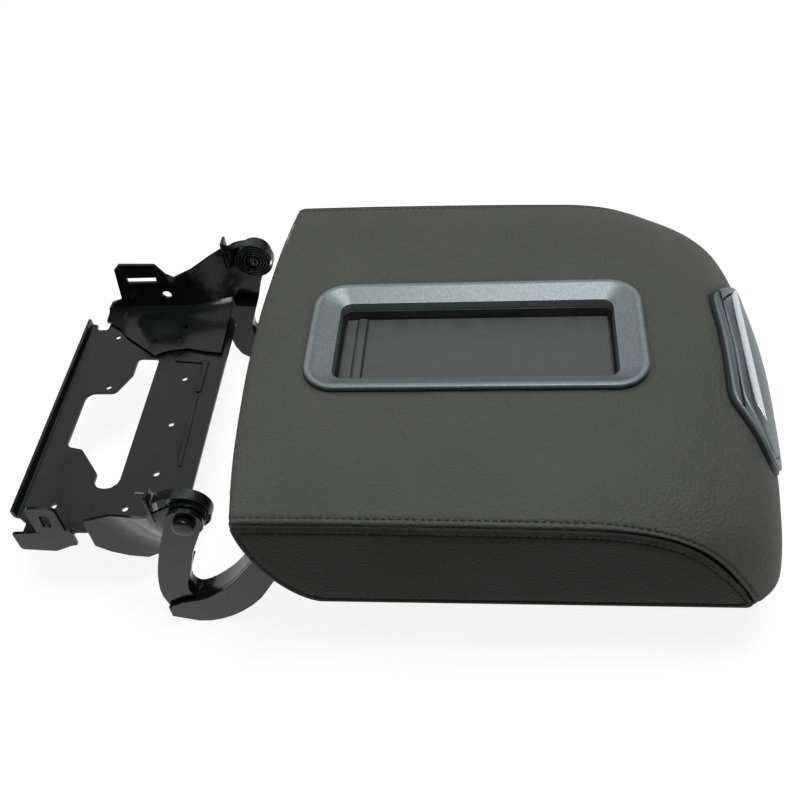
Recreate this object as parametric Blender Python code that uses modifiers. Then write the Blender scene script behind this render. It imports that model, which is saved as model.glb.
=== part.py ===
"""Center console armrest lid with its spring hinge, shown fully open.

Frame: X runs from the hinge to the latch, Y across the lid, Z up. The design
frame has X = 0 at the rear end of the side seams, Y = 0 on the centre line and
Z = 0 in the plane of the seams. Everything hangs on one empty that sets the
part on the surface it rests on.
"""
import math

import bmesh
import bpy
from mathutils import Matrix, Vector

MM = 0.001

# Clearances
GAP = 0.3 * MM               # between pieces that touch
RUNNING = 0.3 * MM           # round a turning pin, on the radius
SHEET = 2.5 * MM             # stamped steel of the hinge bracket

# Lid outline
SEAM_LENGTH = 334 * MM       # rear end of a side seam to its front end
HALF_WIDTH = 159 * MM        # centre line to a side seam
LID_DEPTH = 88 * MM          # seam plane to the bottom edge
CROWN = 6.8 * MM             # rise of the top from the seams to the middle
REAR_BOW = 12 * MM           # how far the rear face bows out in the middle
FRONT_BOW = 30 * MM          # how far the front face bows out in the middle
REAR_RUN = 47 * MM           # length of the rear arc that clears the hinge
REAR_ROUND = 4 * MM          # rounding where the top turns down at a rear corner
REAR_CROWN_ROUND = 10 * MM   # the same in the middle
FRONT_RUN = 109 * MM         # length over which the top falls to the latch
FRONT_START = SEAM_LENGTH - FRONT_RUN
FRONT_START_DROP = 4 * MM    # fall of the seams up to there
HEM_ROUND = 4 * MM           # rounding of the bottom edge at the front
HEM_WIDTH = 13 * MM          # cover wrapped under the lid

# Layers of the lid
COVER = 4 * MM               # leather with its foam backing
FOAM = 9.4 * MM              # moulded pad
SUBSTRATE = 3 * MM           # hard moulding
CHEEK = 5 * MM               # padded side panel
CHEEK_LEAN = 0.02            # outward lean of a side panel, per unit of drop
LINER = 2.5 * MM             # underside moulding

# Phone tray and its bezel
BEZEL_FORWARD = 39.1 * MM    # tray's middle ahead of the middle of the flat top
BEZEL_MID_X = FRONT_START / 2 + BEZEL_FORWARD
BEZEL_HALF_X = 120.2 * MM
BEZEL_HALF_Y = 54.3 * MM
BEZEL_CORNER = 24 * MM
BEZEL_RIM = 4.5 * MM         # bright outer rim
BEZEL_SLOPE_X = 15.4 * MM    # width of the sloping face at the ends
BEZEL_SLOPE_Y = 11.1 * MM    # and along the sides
BEZEL_HEIGHT = 2 * MM        # how far the rim stands over the leather
BEZEL_DROP = 7 * MM          # fall of the sloping face
BEZEL_WALL = 2 * MM
BEZEL_SEAT = 6 * MM          # how far the rim overlaps the cover
THROAT_DEPTH = 6.6 * MM      # upright wall under the sloping face
TRAY_DEPTH = 8.4 * MM        # tray floor below its own rim
TRAY_WALL = 2 * MM
TRAY_FLANGE = 7 * MM
TRAY_CORNER = 7 * MM
RIB_FROM_END = 35 * MM       # rear end of the bezel to the middle of the tray's rib
RIB_X = BEZEL_MID_X - BEZEL_HALF_X + RIB_FROM_END
RIB_WIDTH = 6.3 * MM
RIB_HEIGHT = 3 * MM
MAT_THICKNESS = 1.2 * MM
MAT_MARGIN = 1.5 * MM

# Latch on the front face: u runs down the front curve from 0 to 1
LATCH_TOP_U = 0.44
LATCH_BOTTOM_U = 0.87
LATCH_HALF_WIDE = 86 * MM
LATCH_PROUD = 3 * MM
HANDLE_GAP = 1.2 * MM
HANDLE_PIN_R = 1.5 * MM
HOOK_FORWARD = 4 * MM        # hook's pin ahead of the seams' ends
HOOK_X = SEAM_LENGTH + HOOK_FORWARD
HOOK_PIVOT_DEPTH = 72 * MM
HOOK_REACH = 30 * MM         # below the lid's bottom edge
HOOK_THICKNESS = 6 * MM
HOOK_PIN_R = 2.5 * MM

# Hinge
PIVOT_X = -39 * MM
PIVOT_Z = -27 * MM
EAR_INSET = 22 * MM          # side seam to the middle of an ear's sheet
EAR_Y = HALF_WIDTH - EAR_INSET
EAR_R = 14 * MM
FLARE = 19 * MM              # an ear stands this much outside its side wall
SIDE_Y = EAR_Y - FLARE
FLARE_START = 20 * MM        # the wall flares inward between these radii
FLARE_END = 75 * MM
PIN_R = 5 * MM
PIN_HEAD_R = 7.8 * MM
PIN_HEAD = 5 * MM
WASHER = 1.4 * MM
ARM_EYE_R = 13 * MM
ARM_PLATE = 3.5 * MM
ARM_DEPTH = 14.5 * MM        # channel depth of a gooseneck arm
ARM_WALL = 3 * MM
DOUBLER = 3 * MM
SPRING_OUTER = 17.5 * MM
SPRING_TURNS = 4.5
SPRING_STRIP = 1.0 * MM
SPRING_WIDTH = 8.5 * MM

# Bracket plate
PLATE_TOP = -75 * MM
PLATE_REAR_X = -187 * MM
PLATE_FRONT_X = -60 * MM
LIP_HEIGHT = 8 * MM
LIP_INSET = 14 * MM          # side wall to the end of the upturned lip
LIP_HALF = SIDE_Y - LIP_INSET
BEAM_HOLE_X = -91 * MM
BEAM_HOLE_PITCH = 50 * MM
BEAM_HOLE_MID_Y = -13 * MM
SMALL_HOLE_R = 2.6 * MM

# Place of the design frame in the part's own frame
ORIGIN_X = -87.2 * MM
FLOOR_Z = -146.95 * MM

for old in list(bpy.data.objects):
    bpy.data.objects.remove(old, do_unlink=True)

parts = bpy.data.collections.new("center_console_armrest_lid")
cutters = bpy.data.collections.new("cutters")
bpy.context.scene.collection.children.link(parts)
bpy.context.scene.collection.children.link(cutters)


# Materials

def make_material(name, color, roughness, metallic=0.0):
    material = bpy.data.materials.new(name)
    material.use_nodes = True
    shader = material.node_tree.nodes["Principled BSDF"]
    shader.inputs["Base Color"].default_value = (*color, 1.0)
    shader.inputs["Roughness"].default_value = roughness
    shader.inputs["Metallic"].default_value = metallic
    return material


LEATHER = make_material("leather", (0.085, 0.088, 0.080), 0.55)
PAD_FOAM = make_material("pad_foam", (0.60, 0.57, 0.48), 0.95)
BLACK_PLASTIC = make_material("black_plastic", (0.03, 0.03, 0.03), 0.5)
BEZEL_PAINT = make_material("bezel_paint", (0.22, 0.27, 0.31), 0.35, 0.6)
BRIGHT_TRIM = make_material("bright_trim", (0.65, 0.68, 0.72), 0.25, 0.9)
MAT_RUBBER = make_material("mat_rubber", (0.05, 0.05, 0.048), 0.8)
BLACK_STEEL = make_material("black_steel", (0.02, 0.02, 0.02), 0.25, 0.3)
SPRING_STEEL = make_material("spring_steel", (0.05, 0.05, 0.05), 0.3, 0.8)


# Bodies: an empty on each joint's axis carries the pieces that move with it

def add_body(name, place, parent=None):
    """Add an empty at a place of the design frame."""
    empty = bpy.data.objects.new(name, None)
    empty["place"] = tuple(place)
    empty.parent = parent
    empty.location = Vector(place) - (Vector(parent["place"]) if parent else Vector())
    parts.objects.link(empty)
    return empty


def add_piece(name, mesh, material, body):
    """Add a piece whose mesh is modelled in the design frame."""
    piece = bpy.data.objects.new(name, mesh)
    mesh.name = name
    mesh.materials.clear()
    mesh.materials.append(material)
    piece.parent = body
    piece.location = -Vector(body["place"])
    parts.objects.link(piece)
    return piece


def add_cutter(name, mesh):
    """Add a hidden shape that a piece is cut or joined with."""
    cutter = bpy.data.objects.new(name, mesh)
    cutter.parent = bracket_body
    cutter.hide_render = True
    cutter.display_type = "WIRE"
    cutters.objects.link(cutter)
    return cutter


def combine(piece, operation, *shapes):
    """Cut a piece by shapes, or join them to it."""
    for shape in shapes:
        boolean = piece.modifiers.new(shape.name, "BOOLEAN")
        boolean.operation = operation
        boolean.object = shape


def add_solidify(piece, thickness, offset):
    solidify = piece.modifiers.new("wall", "SOLIDIFY")
    solidify.thickness = thickness
    solidify.offset = offset
    solidify.use_even_offset = True
    piece.modifiers.new("triangles", "TRIANGULATE")


# Shapes

def mesh_from(build_mesh):
    mesh = bpy.data.meshes.new("shape")
    bmesh.ops.recalc_face_normals(build_mesh, faces=build_mesh.faces)
    build_mesh.to_mesh(mesh)
    build_mesh.free()
    return mesh


def box_mesh(low, high, rounding=0.0):
    """A box between two corners, with its edges rounded."""
    shape = bmesh.new()
    bmesh.ops.create_cube(shape, size=1.0)
    size = Vector(high) - Vector(low)
    middle = (Vector(high) + Vector(low)) / 2
    bmesh.ops.scale(shape, vec=size, verts=shape.verts)
    bmesh.ops.translate(shape, vec=middle, verts=shape.verts)
    if rounding:
        bmesh.ops.bevel(shape, geom=shape.edges[:], offset=rounding, segments=2,
                        affect="EDGES", profile=0.5)
    return mesh_from(shape)


def rod_mesh(start, end, radius, segments=20):
    """A round rod between two points."""
    shape = bmesh.new()
    along = Vector(end) - Vector(start)
    turn = along.to_track_quat("Z", "Y").to_matrix().to_4x4()
    place = Matrix.Translation((Vector(start) + Vector(end)) / 2)
    bmesh.ops.create_cone(shape, cap_ends=True, segments=segments, radius1=radius,
                          radius2=radius, depth=along.length, matrix=place @ turn)
    return mesh_from(shape)


def circle(x, y, radius, steps=16):
    turns = [2 * math.pi * step / steps for step in range(steps)]
    return [(x + radius * math.cos(turn), y + radius * math.sin(turn)) for turn in turns]


def rounded_outline(corners, steps=3):
    """Corners given as (x, y, radius), with an arc in place of each."""
    outline = []
    for index, (x, y, radius) in enumerate(corners):
        corner = Vector((x, y))
        before = (Vector(corners[index - 1][:2]) - corner).normalized()
        after = (Vector(corners[(index + 1) % len(corners)][:2]) - corner).normalized()
        if radius == 0:
            outline.append((x, y))
            continue
        half_angle = before.angle(after) / 2
        centre = corner + (before + after).normalized() * radius / math.sin(half_angle)
        start = corner + before * radius / math.tan(half_angle) - centre
        end = corner + after * radius / math.tan(half_angle) - centre
        for step in range(steps + 1):
            spoke = start.lerp(end, step / steps).normalized() * radius
            outline.append(tuple(centre + spoke))
    return outline


def flat_mesh(loops, thickness, plane, level):
    """A flat piece from closed outlines; the ones inside the first are holes.

    plane XY lies at height level; plane XZ stands at Y = level.
    """
    curve = bpy.data.curves.new("outline", "CURVE")
    curve.dimensions = "2D"
    curve.fill_mode = "BOTH"
    curve.extrude = thickness / 2
    for loop in loops:
        spline = curve.splines.new("POLY")
        spline.points.add(len(loop) - 1)
        for point, (x, y) in zip(spline.points, loop):
            point.co = (x, y, 0, 1)
        spline.use_cyclic_u = True
    guide = bpy.data.objects.new("outline", curve)
    bpy.context.scene.collection.objects.link(guide)
    bpy.context.view_layer.update()
    evaluated = guide.evaluated_get(bpy.context.evaluated_depsgraph_get())
    flat = bpy.data.meshes.new_from_object(evaluated)
    bpy.data.objects.remove(guide, do_unlink=True)
    shape = bmesh.new()
    shape.from_mesh(flat)
    bmesh.ops.remove_doubles(shape, verts=shape.verts, dist=0.002 * MM)
    if plane == "XZ":
        turn = Matrix.Translation((0, level, 0)) @ Matrix.Rotation(math.pi / 2, 4, "X")
    else:
        turn = Matrix.Translation((0, 0, level))
    bmesh.ops.transform(shape, matrix=turn, verts=shape.verts)
    return mesh_from(shape)


def loft_mesh(rings, closed_tube=False, open_surface=False):
    """Bridge rings of equal length; the first and last are capped."""
    shape = bmesh.new()
    loops = [[shape.verts.new(point) for point in ring] for ring in rings]
    pairs = list(zip(loops, loops[1:]))
    if closed_tube:
        pairs.append((loops[-1], loops[0]))
    for lower, upper in pairs:
        for index in range(len(lower)):
            following = (index + 1) % len(lower)
            shape.faces.new((lower[index], lower[following], upper[following], upper[index]))
    if not closed_tube:
        shape.faces.new(loops[-1])
    if not closed_tube and not open_surface:
        shape.faces.new(reversed(loops[0]))
    bmesh.ops.triangulate(shape, faces=shape.faces)
    return mesh_from(shape)


def grid_mesh(columns):
    """A sheet through columns of points; a column may be shorter than the next."""
    shape = bmesh.new()
    grid = [[shape.verts.new(point) for point in column] for column in columns]
    for left, right in zip(grid, grid[1:]):
        for row in range(min(len(left), len(right)) - 1):
            shape.faces.new((left[row], right[row], right[row + 1], left[row + 1]))
    bmesh.ops.triangulate(shape, faces=shape.faces)
    return mesh_from(shape)


def smooth_path(points, steps):
    """A smooth curve through points of the plane."""
    path = []
    padded = [points[0]] + list(points) + [points[-1]]
    for index in range(1, len(padded) - 2):
        before, start, end, after = (Vector(p) for p in padded[index - 1:index + 3])
        for step in range(steps):
            t = step / steps
            path.append(tuple(0.5 * (2 * start + (end - before) * t
                                     + (2 * before - 5 * start + 4 * end - after) * t ** 2
                                     + (3 * start - before - 3 * end + after) * t ** 3)))
    path.append(tuple(points[-1]))
    return path


def turned_piece(name, profile, material, body, place, outward, segments=20):
    """A turned piece from a profile of (radius, height), run down its outer side.

    outward is the direction its height points to: Z, Y or -Y.
    """
    mesh = bpy.data.meshes.new(name)
    edges = [(index, index + 1) for index in range(len(profile) - 1)]
    mesh.from_pydata([(radius, 0, height) for radius, height in profile], edges, [])
    piece = add_piece(name, mesh, material, body)
    piece.location = Vector(place) - Vector(body["place"])
    piece.rotation_euler.x = {"Z": 0, "Y": -math.pi / 2, "-Y": math.pi / 2, "-Z": math.pi}[outward]
    screw = piece.modifiers.new("turn", "SCREW")
    screw.steps = segments
    screw.render_steps = segments
    screw.use_merge_vertices = True
    screw.merge_threshold = 0.01 * MM
    return piece


# The lid's outline

REAR_X = -REAR_BOW
FRONT_X = SEAM_LENGTH + FRONT_BOW
ARC_POWER = 1.65             # fullness of the rear arc
REAR_CURVE = 2               # how the rear bow fades towards a seam
FRONT_CURVE = 7.5            # how the front bow fades towards a seam
CROWN_CURVE = 5              # how the crown fades towards a seam
REAR_STEPS = 5
TOP_STEPS = 4
FRONT_STEPS = 8
SEAM_PULL = (65 * MM, 4 * MM)        # reach of the seam's front curve at its top
SEAM_FALL = (28 * MM, 50 * MM)       # and at its foot
CENTRE_PULL = (105 * MM, -1.2 * MM)  # reach of the middle's front curve at its top
CENTRE_FALL = (-2 * MM, 76 * MM)     # and at its foot


def bezier(points, t):
    a, b, c, d = (Vector(point) for point in points)
    return (1 - t) ** 3 * a + 3 * (1 - t) ** 2 * t * b + 3 * (1 - t) * t * t * c + t ** 3 * d


def front_handles(start_z, end_x, pull, fall):
    end_z = -LID_DEPTH + HEM_ROUND
    return [(FRONT_START, start_z), (FRONT_START + pull[0], start_z - pull[1]),
            (end_x - fall[0], end_z + fall[1]), (end_x, end_z)]


SEAM_FRONT = front_handles(-FRONT_START_DROP, SEAM_LENGTH, SEAM_PULL, SEAM_FALL)
CENTRE_FRONT = front_handles(CROWN, FRONT_X, CENTRE_PULL, CENTRE_FALL)


def lid_section(rear_x, top_z, corner, drop, front):
    """Points of one lengthwise section as (x, z, how its bow fades)."""
    section = []
    arc_x = REAR_RUN - rear_x
    arc_z = LID_DEPTH + top_z - corner
    for step in range(REAR_STEPS, -1, -1):
        turn = math.pi / 2 * step / REAR_STEPS
        reach = math.cos(turn) ** (2 / ARC_POWER) if step < REAR_STEPS else 0.0
        section.append((REAR_RUN - arc_x * reach,
                        top_z - corner - arc_z * math.sin(turn) ** (2 / ARC_POWER), REAR_CURVE))
    for turn in (math.pi / 4, math.pi / 2):
        section.append((rear_x + corner * (1 - math.cos(turn)),
                        top_z - corner * (1 - math.sin(turn)), REAR_CURVE))
    top_start = rear_x + corner
    for step in range(1, TOP_STEPS + 1):
        along = step / (TOP_STEPS + 1)
        section.append((top_start + (FRONT_START - top_start) * along,
                        top_z - drop * along ** 2, REAR_CURVE))
    for step in range(FRONT_STEPS + 1):
        x, z = bezier(front, step / FRONT_STEPS)
        section.append((x, z, FRONT_CURVE))
    for turn in (math.pi / 4, math.pi / 2):
        section.append((front[3][0] - HEM_ROUND * (1 - math.cos(turn)),
                        -LID_DEPTH + HEM_ROUND * (1 - math.sin(turn)), FRONT_CURVE))
    return section


SEAM_SECTION = lid_section(0.0, 0.0, REAR_ROUND, FRONT_START_DROP, SEAM_FRONT)
CENTRE_SECTION = lid_section(REAR_X, CROWN, REAR_CROWN_ROUND, 0.0, CENTRE_FRONT)


def shrink(x, z, inset):
    """Move a point of a section inward by about the inset."""
    middle_x, half_x = (FRONT_X + REAR_X) / 2, (FRONT_X - REAR_X) / 2
    middle_z, half_z = (CROWN - LID_DEPTH) / 2, (CROWN + LID_DEPTH) / 2
    return (middle_x + (x - middle_x) * (1 - inset / half_x),
            middle_z + (z - middle_z) * (1 - inset / half_z))


def lid_outline(share, inset=0.0):
    """Closed outline in X and Z, share of the way from the centre line to a seam."""
    outline = []
    for (seam_x, seam_z, bend), (mid_x, mid_z, _) in zip(SEAM_SECTION, CENTRE_SECTION):
        x = seam_x + (mid_x - seam_x) * (1 - share ** bend)
        z = seam_z + (mid_z - seam_z) * (1 - share ** CROWN_CURVE)
        outline.append(shrink(x, z, inset))
    return outline


ACROSS = (-1, -0.97, -0.9, -0.78, -0.6, -0.3, 0, 0.3, 0.6, 0.78, 0.9, 0.97, 1)


def lid_form(inset, half_width, overrun=0.0):
    """The lid's whole form, shrunk by an inset; overrun lets a cutter pass the sides."""
    rings = [[(x, share * half_width, z) for x, z in lid_outline(abs(share), inset)]
             for share in ACROSS]
    if overrun:
        rings.insert(0, [(x, y - overrun, z) for x, y, z in rings[0]])
        rings.append([(x, y + overrun, z) for x, y, z in rings[-1]])
    return loft_mesh(rings)


def top_height(x, y, inset, half_width):
    """Height of the lid's upper surface, shrunk by an inset, over a point."""
    outline = lid_outline(min(abs(y) / half_width, 1.0), inset)[REAR_STEPS:]
    for (x0, z0), (x1, z1) in zip(outline, outline[1:]):
        if x0 <= x <= x1:
            return z0 + (z1 - z0) * (x - x0) / (x1 - x0)
    raise ValueError("no lid above this point")


def bottom_outline(inset):
    """Plan outline of the lid's underside, moved inward by an inset."""
    half = HALF_WIDTH - inset
    front = []
    for share in ACROSS:
        front_x = SEAM_LENGTH + FRONT_BOW * (1 - abs(share) ** FRONT_CURVE)
        front.append((front_x - inset, share * half))
    rear_x = REAR_RUN + inset
    return [(rear_x, half), (rear_x, -half)] + front


def front_point(u, y, proud):
    """A point over the front face: u down the curve, y across, proud along its normal."""
    def on_face(at):
        share = abs(y) / HALF_WIDTH
        seam = bezier(SEAM_FRONT, at)
        middle = bezier(CENTRE_FRONT, at)
        return Vector((seam.x + (middle.x - seam.x) * (1 - share ** FRONT_CURVE),
                       seam.y + (middle.y - seam.y) * (1 - share ** CROWN_CURVE)))
    place = on_face(u)
    along = (on_face(u + 0.01) - on_face(u - 0.01)).normalized()
    return (place.x - along.y * proud, y, place.y + along.x * proud)


# Bodies of the assembly

bracket_body = add_body("bracket_body", (0, 0, 0))
lid_body = add_body("hinge_axis", (PIVOT_X, 0, PIVOT_Z), bracket_body)
bracket_body.location = (ORIGIN_X, 0, -FLOOR_Z)

# Padded lid: cover, foam, hard substrate

FOAM_INSET = COVER + GAP
SUBSTRATE_INSET = FOAM_INSET + FOAM + GAP
SUBSTRATE_HALF = HALF_WIDTH - FOAM - GAP
BELOW = -LID_DEPTH - 10 * MM
SUBSTRATE_LIP = 18 * MM

underside_opening = add_cutter("underside_opening", flat_mesh(
    [bottom_outline(SUBSTRATE_LIP)], 40 * MM, "XY", -LID_DEPTH))


def rounded_ring(half_x, half_y, corner, z, steps=4):
    """A rounded rectangle round the middle of the tray."""
    corners = [(BEZEL_MID_X - half_x, -half_y, corner), (BEZEL_MID_X + half_x, -half_y, corner),
               (BEZEL_MID_X + half_x, half_y, corner), (BEZEL_MID_X - half_x, half_y, corner)]
    return [(x, y, z) for x, y in rounded_outline(corners, steps)]


def tray_prism(half_x, half_y, corner, low, high):
    return loft_mesh([rounded_ring(half_x, half_y, corner, z) for z in (low, high)])


BEZEL_HOLE_BELOW = 6 * MM
BEZEL_HOLE_ABOVE = 10 * MM
bezel_hole = add_cutter("bezel_hole", tray_prism(
    BEZEL_HALF_X - BEZEL_SEAT, BEZEL_HALF_Y - BEZEL_SEAT, BEZEL_CORNER - BEZEL_SEAT,
    CROWN - FOAM_INSET - FOAM - BEZEL_HOLE_BELOW, CROWN + BEZEL_HOLE_ABOVE))

ARM_OUTER_Y = EAR_Y + SHEET / 2 + GAP + WASHER + GAP + ARM_PLATE
ARM_INNER_Y = ARM_OUTER_Y - ARM_DEPTH
DOUBLER_OUTER_Y = ARM_OUTER_Y + GAP + DOUBLER
ARM_SLOT_TOP = -36 * MM
ARM_SLOT_FRONT_X = 52 * MM
arm_slots = [add_cutter("arm_slot_" + end, box_mesh(
    (REAR_X - 20 * MM, min(side * low, side * high), BELOW),
    (ARM_SLOT_FRONT_X, max(side * low, side * high), ARM_SLOT_TOP)))
    for end, side, low, high in (
        ("near", -1, ARM_INNER_Y - 2 * MM, DOUBLER_OUTER_Y + 1.2 * MM),
        ("far", 1, ARM_INNER_Y - 2 * MM, DOUBLER_OUTER_Y + 1.2 * MM))]

leather_cover = add_piece("leather_top_cover", lid_form(0.0, HALF_WIDTH), LEATHER, lid_body)
cover_inside = add_cutter("cover_inside", lid_form(COVER, HALF_WIDTH, 5 * MM))

foam_pad = add_piece("foam_pad", lid_form(FOAM_INSET, HALF_WIDTH), PAD_FOAM, lid_body)
foam_inside = add_cutter("foam_inside", lid_form(FOAM_INSET + FOAM, HALF_WIDTH - FOAM))

substrate = add_piece("lid_substrate", lid_form(SUBSTRATE_INSET, SUBSTRATE_HALF),
                      BLACK_PLASTIC, lid_body)
substrate_inside = add_cutter("substrate_inside", lid_form(
    SUBSTRATE_INSET + SUBSTRATE, SUBSTRATE_HALF - SUBSTRATE))

# Side panels: padded leather cheeks sewn to the top cover

CHEEK_STEPS = ((0.0, 0.0), (0.4, 0.0), (0.78, 1.3 * MM), (1.0, 4.2 * MM))


def cheek_mesh(side):
    rings = []
    for out, inset in CHEEK_STEPS:
        y = HALF_WIDTH + GAP + CHEEK * out
        rings.append([(x, side * (y - CHEEK_LEAN * min(z, 0.0)), z)
                      for x, z in lid_outline(1.0, inset)])
    return loft_mesh(rings)


for end, side in (("near", -1), ("far", 1)):
    add_piece(end + "_side_panel", cheek_mesh(side), LEATHER, lid_body)

# Tray bezel, a painted funnel that sits on the leather

RIM_Z = CROWN + GAP + BEZEL_HEIGHT
INNER_HALF_X = BEZEL_HALF_X - BEZEL_RIM - BEZEL_SLOPE_X
INNER_HALF_Y = BEZEL_HALF_Y - BEZEL_RIM - BEZEL_SLOPE_Y
INNER_CORNER = 8 * MM
INNER_Z = RIM_Z - BEZEL_DROP
THROAT_Z = INNER_Z - THROAT_DEPTH
add_piece("tray_bezel", loft_mesh([
    rounded_ring(BEZEL_HALF_X, BEZEL_HALF_Y, BEZEL_CORNER, CROWN + GAP),
    rounded_ring(BEZEL_HALF_X - 0.3 * MM, BEZEL_HALF_Y - 0.3 * MM, BEZEL_CORNER, RIM_Z - 0.8 * MM),
    rounded_ring(BEZEL_HALF_X - 1.2 * MM, BEZEL_HALF_Y - 1.2 * MM, BEZEL_CORNER - 1 * MM, RIM_Z),
    rounded_ring(BEZEL_HALF_X - BEZEL_RIM, BEZEL_HALF_Y - BEZEL_RIM,
                 BEZEL_CORNER - BEZEL_RIM, RIM_Z - 0.2 * MM),
    rounded_ring(INNER_HALF_X, INNER_HALF_Y, INNER_CORNER, INNER_Z),
    rounded_ring(INNER_HALF_X, INNER_HALF_Y, INNER_CORNER, THROAT_Z),
    rounded_ring(INNER_HALF_X + BEZEL_WALL, INNER_HALF_Y + BEZEL_WALL,
                 INNER_CORNER + BEZEL_WALL, THROAT_Z),
    rounded_ring(INNER_HALF_X + BEZEL_WALL, INNER_HALF_Y + BEZEL_WALL,
                 INNER_CORNER + BEZEL_WALL, INNER_Z - BEZEL_WALL),
    rounded_ring(BEZEL_HALF_X - BEZEL_SEAT - 1 * MM, BEZEL_HALF_Y - BEZEL_SEAT - 1 * MM,
                 BEZEL_CORNER - BEZEL_SEAT - 1 * MM, CROWN + GAP),
], closed_tube=True), BEZEL_PAINT, lid_body)

# Phone tray under the bezel, with its two mats and the rib between them

TRAY_TOP = THROAT_Z - GAP
TRAY_FLOOR = TRAY_TOP - TRAY_DEPTH
TRAY_STEP = 0.6 * MM         # tray wall inside the bezel's throat
TRAY_HALF_X = INNER_HALF_X - TRAY_STEP
TRAY_HALF_Y = INNER_HALF_Y - TRAY_STEP
TRAY_DRAFT = 0.8 * MM
tray_rings = [
    rounded_ring(TRAY_HALF_X + TRAY_FLANGE, TRAY_HALF_Y + TRAY_FLANGE,
                 TRAY_CORNER + TRAY_FLANGE, TRAY_TOP - TRAY_WALL),
    rounded_ring(TRAY_HALF_X + TRAY_FLANGE, TRAY_HALF_Y + TRAY_FLANGE,
                 TRAY_CORNER + TRAY_FLANGE, TRAY_TOP),
    rounded_ring(TRAY_HALF_X, TRAY_HALF_Y, TRAY_CORNER, TRAY_TOP),
    rounded_ring(TRAY_HALF_X - TRAY_DRAFT, TRAY_HALF_Y - TRAY_DRAFT, TRAY_CORNER, TRAY_FLOOR)]
add_piece("phone_tray", loft_mesh([
    rounded_ring(TRAY_HALF_X + TRAY_WALL, TRAY_HALF_Y + TRAY_WALL,
                 TRAY_CORNER + TRAY_WALL, TRAY_FLOOR - TRAY_WALL),
    rounded_ring(TRAY_HALF_X + TRAY_WALL, TRAY_HALF_Y + TRAY_WALL,
                 TRAY_CORNER + TRAY_WALL, TRAY_TOP - TRAY_WALL)] + tray_rings),
    BLACK_PLASTIC, lid_body)

tray_hole = add_cutter("tray_hole", tray_prism(
    TRAY_HALF_X + TRAY_WALL + 1 * MM, TRAY_HALF_Y + TRAY_WALL + 1 * MM,
    TRAY_CORNER + TRAY_WALL, TRAY_FLOOR - 20 * MM, CROWN))

MAT_HALF_Y = TRAY_HALF_Y - TRAY_DRAFT - MAT_MARGIN
MAT_LOW_X = BEZEL_MID_X - TRAY_HALF_X + TRAY_DRAFT + MAT_MARGIN
MAT_HIGH_X = BEZEL_MID_X + TRAY_HALF_X - TRAY_DRAFT - MAT_MARGIN
MAT_BASE = TRAY_FLOOR + GAP
MAT_CORNER = 4 * MM
RIB_MARGIN = 1.2 * MM        # rib to the mats on its two sides
RIB_EDGE = 0.9 * MM
for name, low_x, high_x in (
        ("tray_mat_small", MAT_LOW_X, RIB_X - RIB_WIDTH / 2 - RIB_MARGIN),
        ("tray_mat_large", RIB_X + RIB_WIDTH / 2 + RIB_MARGIN, MAT_HIGH_X)):
    outline = rounded_outline([(x, y, MAT_CORNER) for x, y in (
        (low_x, -MAT_HALF_Y), (high_x, -MAT_HALF_Y), (high_x, MAT_HALF_Y), (low_x, MAT_HALF_Y))])
    add_piece(name, flat_mesh([outline], MAT_THICKNESS, "XY", MAT_BASE + MAT_THICKNESS / 2),
              MAT_RUBBER, lid_body)
add_piece("tray_rib", box_mesh(
    (RIB_X - RIB_WIDTH / 2, -MAT_HALF_Y, MAT_BASE),
    (RIB_X + RIB_WIDTH / 2, MAT_HALF_Y, MAT_BASE + RIB_HEIGHT), RIB_EDGE),
    BLACK_PLASTIC, lid_body)

# Latch on the front face: frame, housing, handle with its bright strip, pin

LATCH_SHAPE = ((0, 0), (0.35, 0), (0.56, 0.012), (0.66, 0.07), (0.78, 0.21), (0.93, 0.42),
               (1.0, 0.56), (1.0, 0.70), (0.93, 0.86), (0.77, 0.955), (0.35, 0.99), (0, 1))
LATCH_MIDDLE_U = (LATCH_TOP_U + LATCH_BOTTOM_U) / 2
LATCH_HALF_HEIGHT = (Vector(front_point(LATCH_TOP_U, 0, 0))
                     - Vector(front_point(LATCH_BOTTOM_U, 0, 0))).length / 2
FRAME_WIDTH = 6.2 * MM
FRAME_BACK = -7 * MM
HOUSING_BACK = FRAME_BACK - 3 * MM
HANDLE_INSET = FRAME_WIDTH + HANDLE_GAP
HANDLE_BACK = FRAME_BACK + 0.8 * MM
FINGER_GAP = 8 * MM          # under the handle's lower edge
FACE_INSETS = (15 * MM, 23 * MM, 30 * MM)
HANDLE_PIN_U = 0.485
HANDLE_PIN_PROUD = -1 * MM
HANDLE_PIN_HALF = 57.5 * MM


def latch_ring(inset, proud, gap_below=0.0):
    """The latch outline on the front face, moved inward and lifted off it.

    gap_below raises its lower edge by that much.
    """
    lowest = 1 - gap_below / (2 * LATCH_HALF_HEIGHT)
    ring = []
    for side in (1, -1):
        half = LATCH_SHAPE if side == 1 else LATCH_SHAPE[-2:0:-1]
        for across, down in half:
            u = LATCH_TOP_U + (LATCH_BOTTOM_U - LATCH_TOP_U) * min(down, lowest)
            u = LATCH_MIDDLE_U + (u - LATCH_MIDDLE_U) * (1 - inset / LATCH_HALF_HEIGHT)
            y = side * across * LATCH_HALF_WIDE * (1 - inset / LATCH_HALF_WIDE)
            ring.append(front_point(u, y, proud))
    return ring


def latch_plate(outer_rings, front, back, gap_below=0.0):
    """A plate that follows the front face, from its middle at the back to the front."""
    rings = [latch_ring(inset, back, gap_below) for inset in reversed(FACE_INSETS)]
    rings += [latch_ring(inset, proud, gap_below) for inset, proud in outer_rings]
    rings += [latch_ring(inset, front, gap_below) for inset in FACE_INSETS]
    return loft_mesh(rings)


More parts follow.
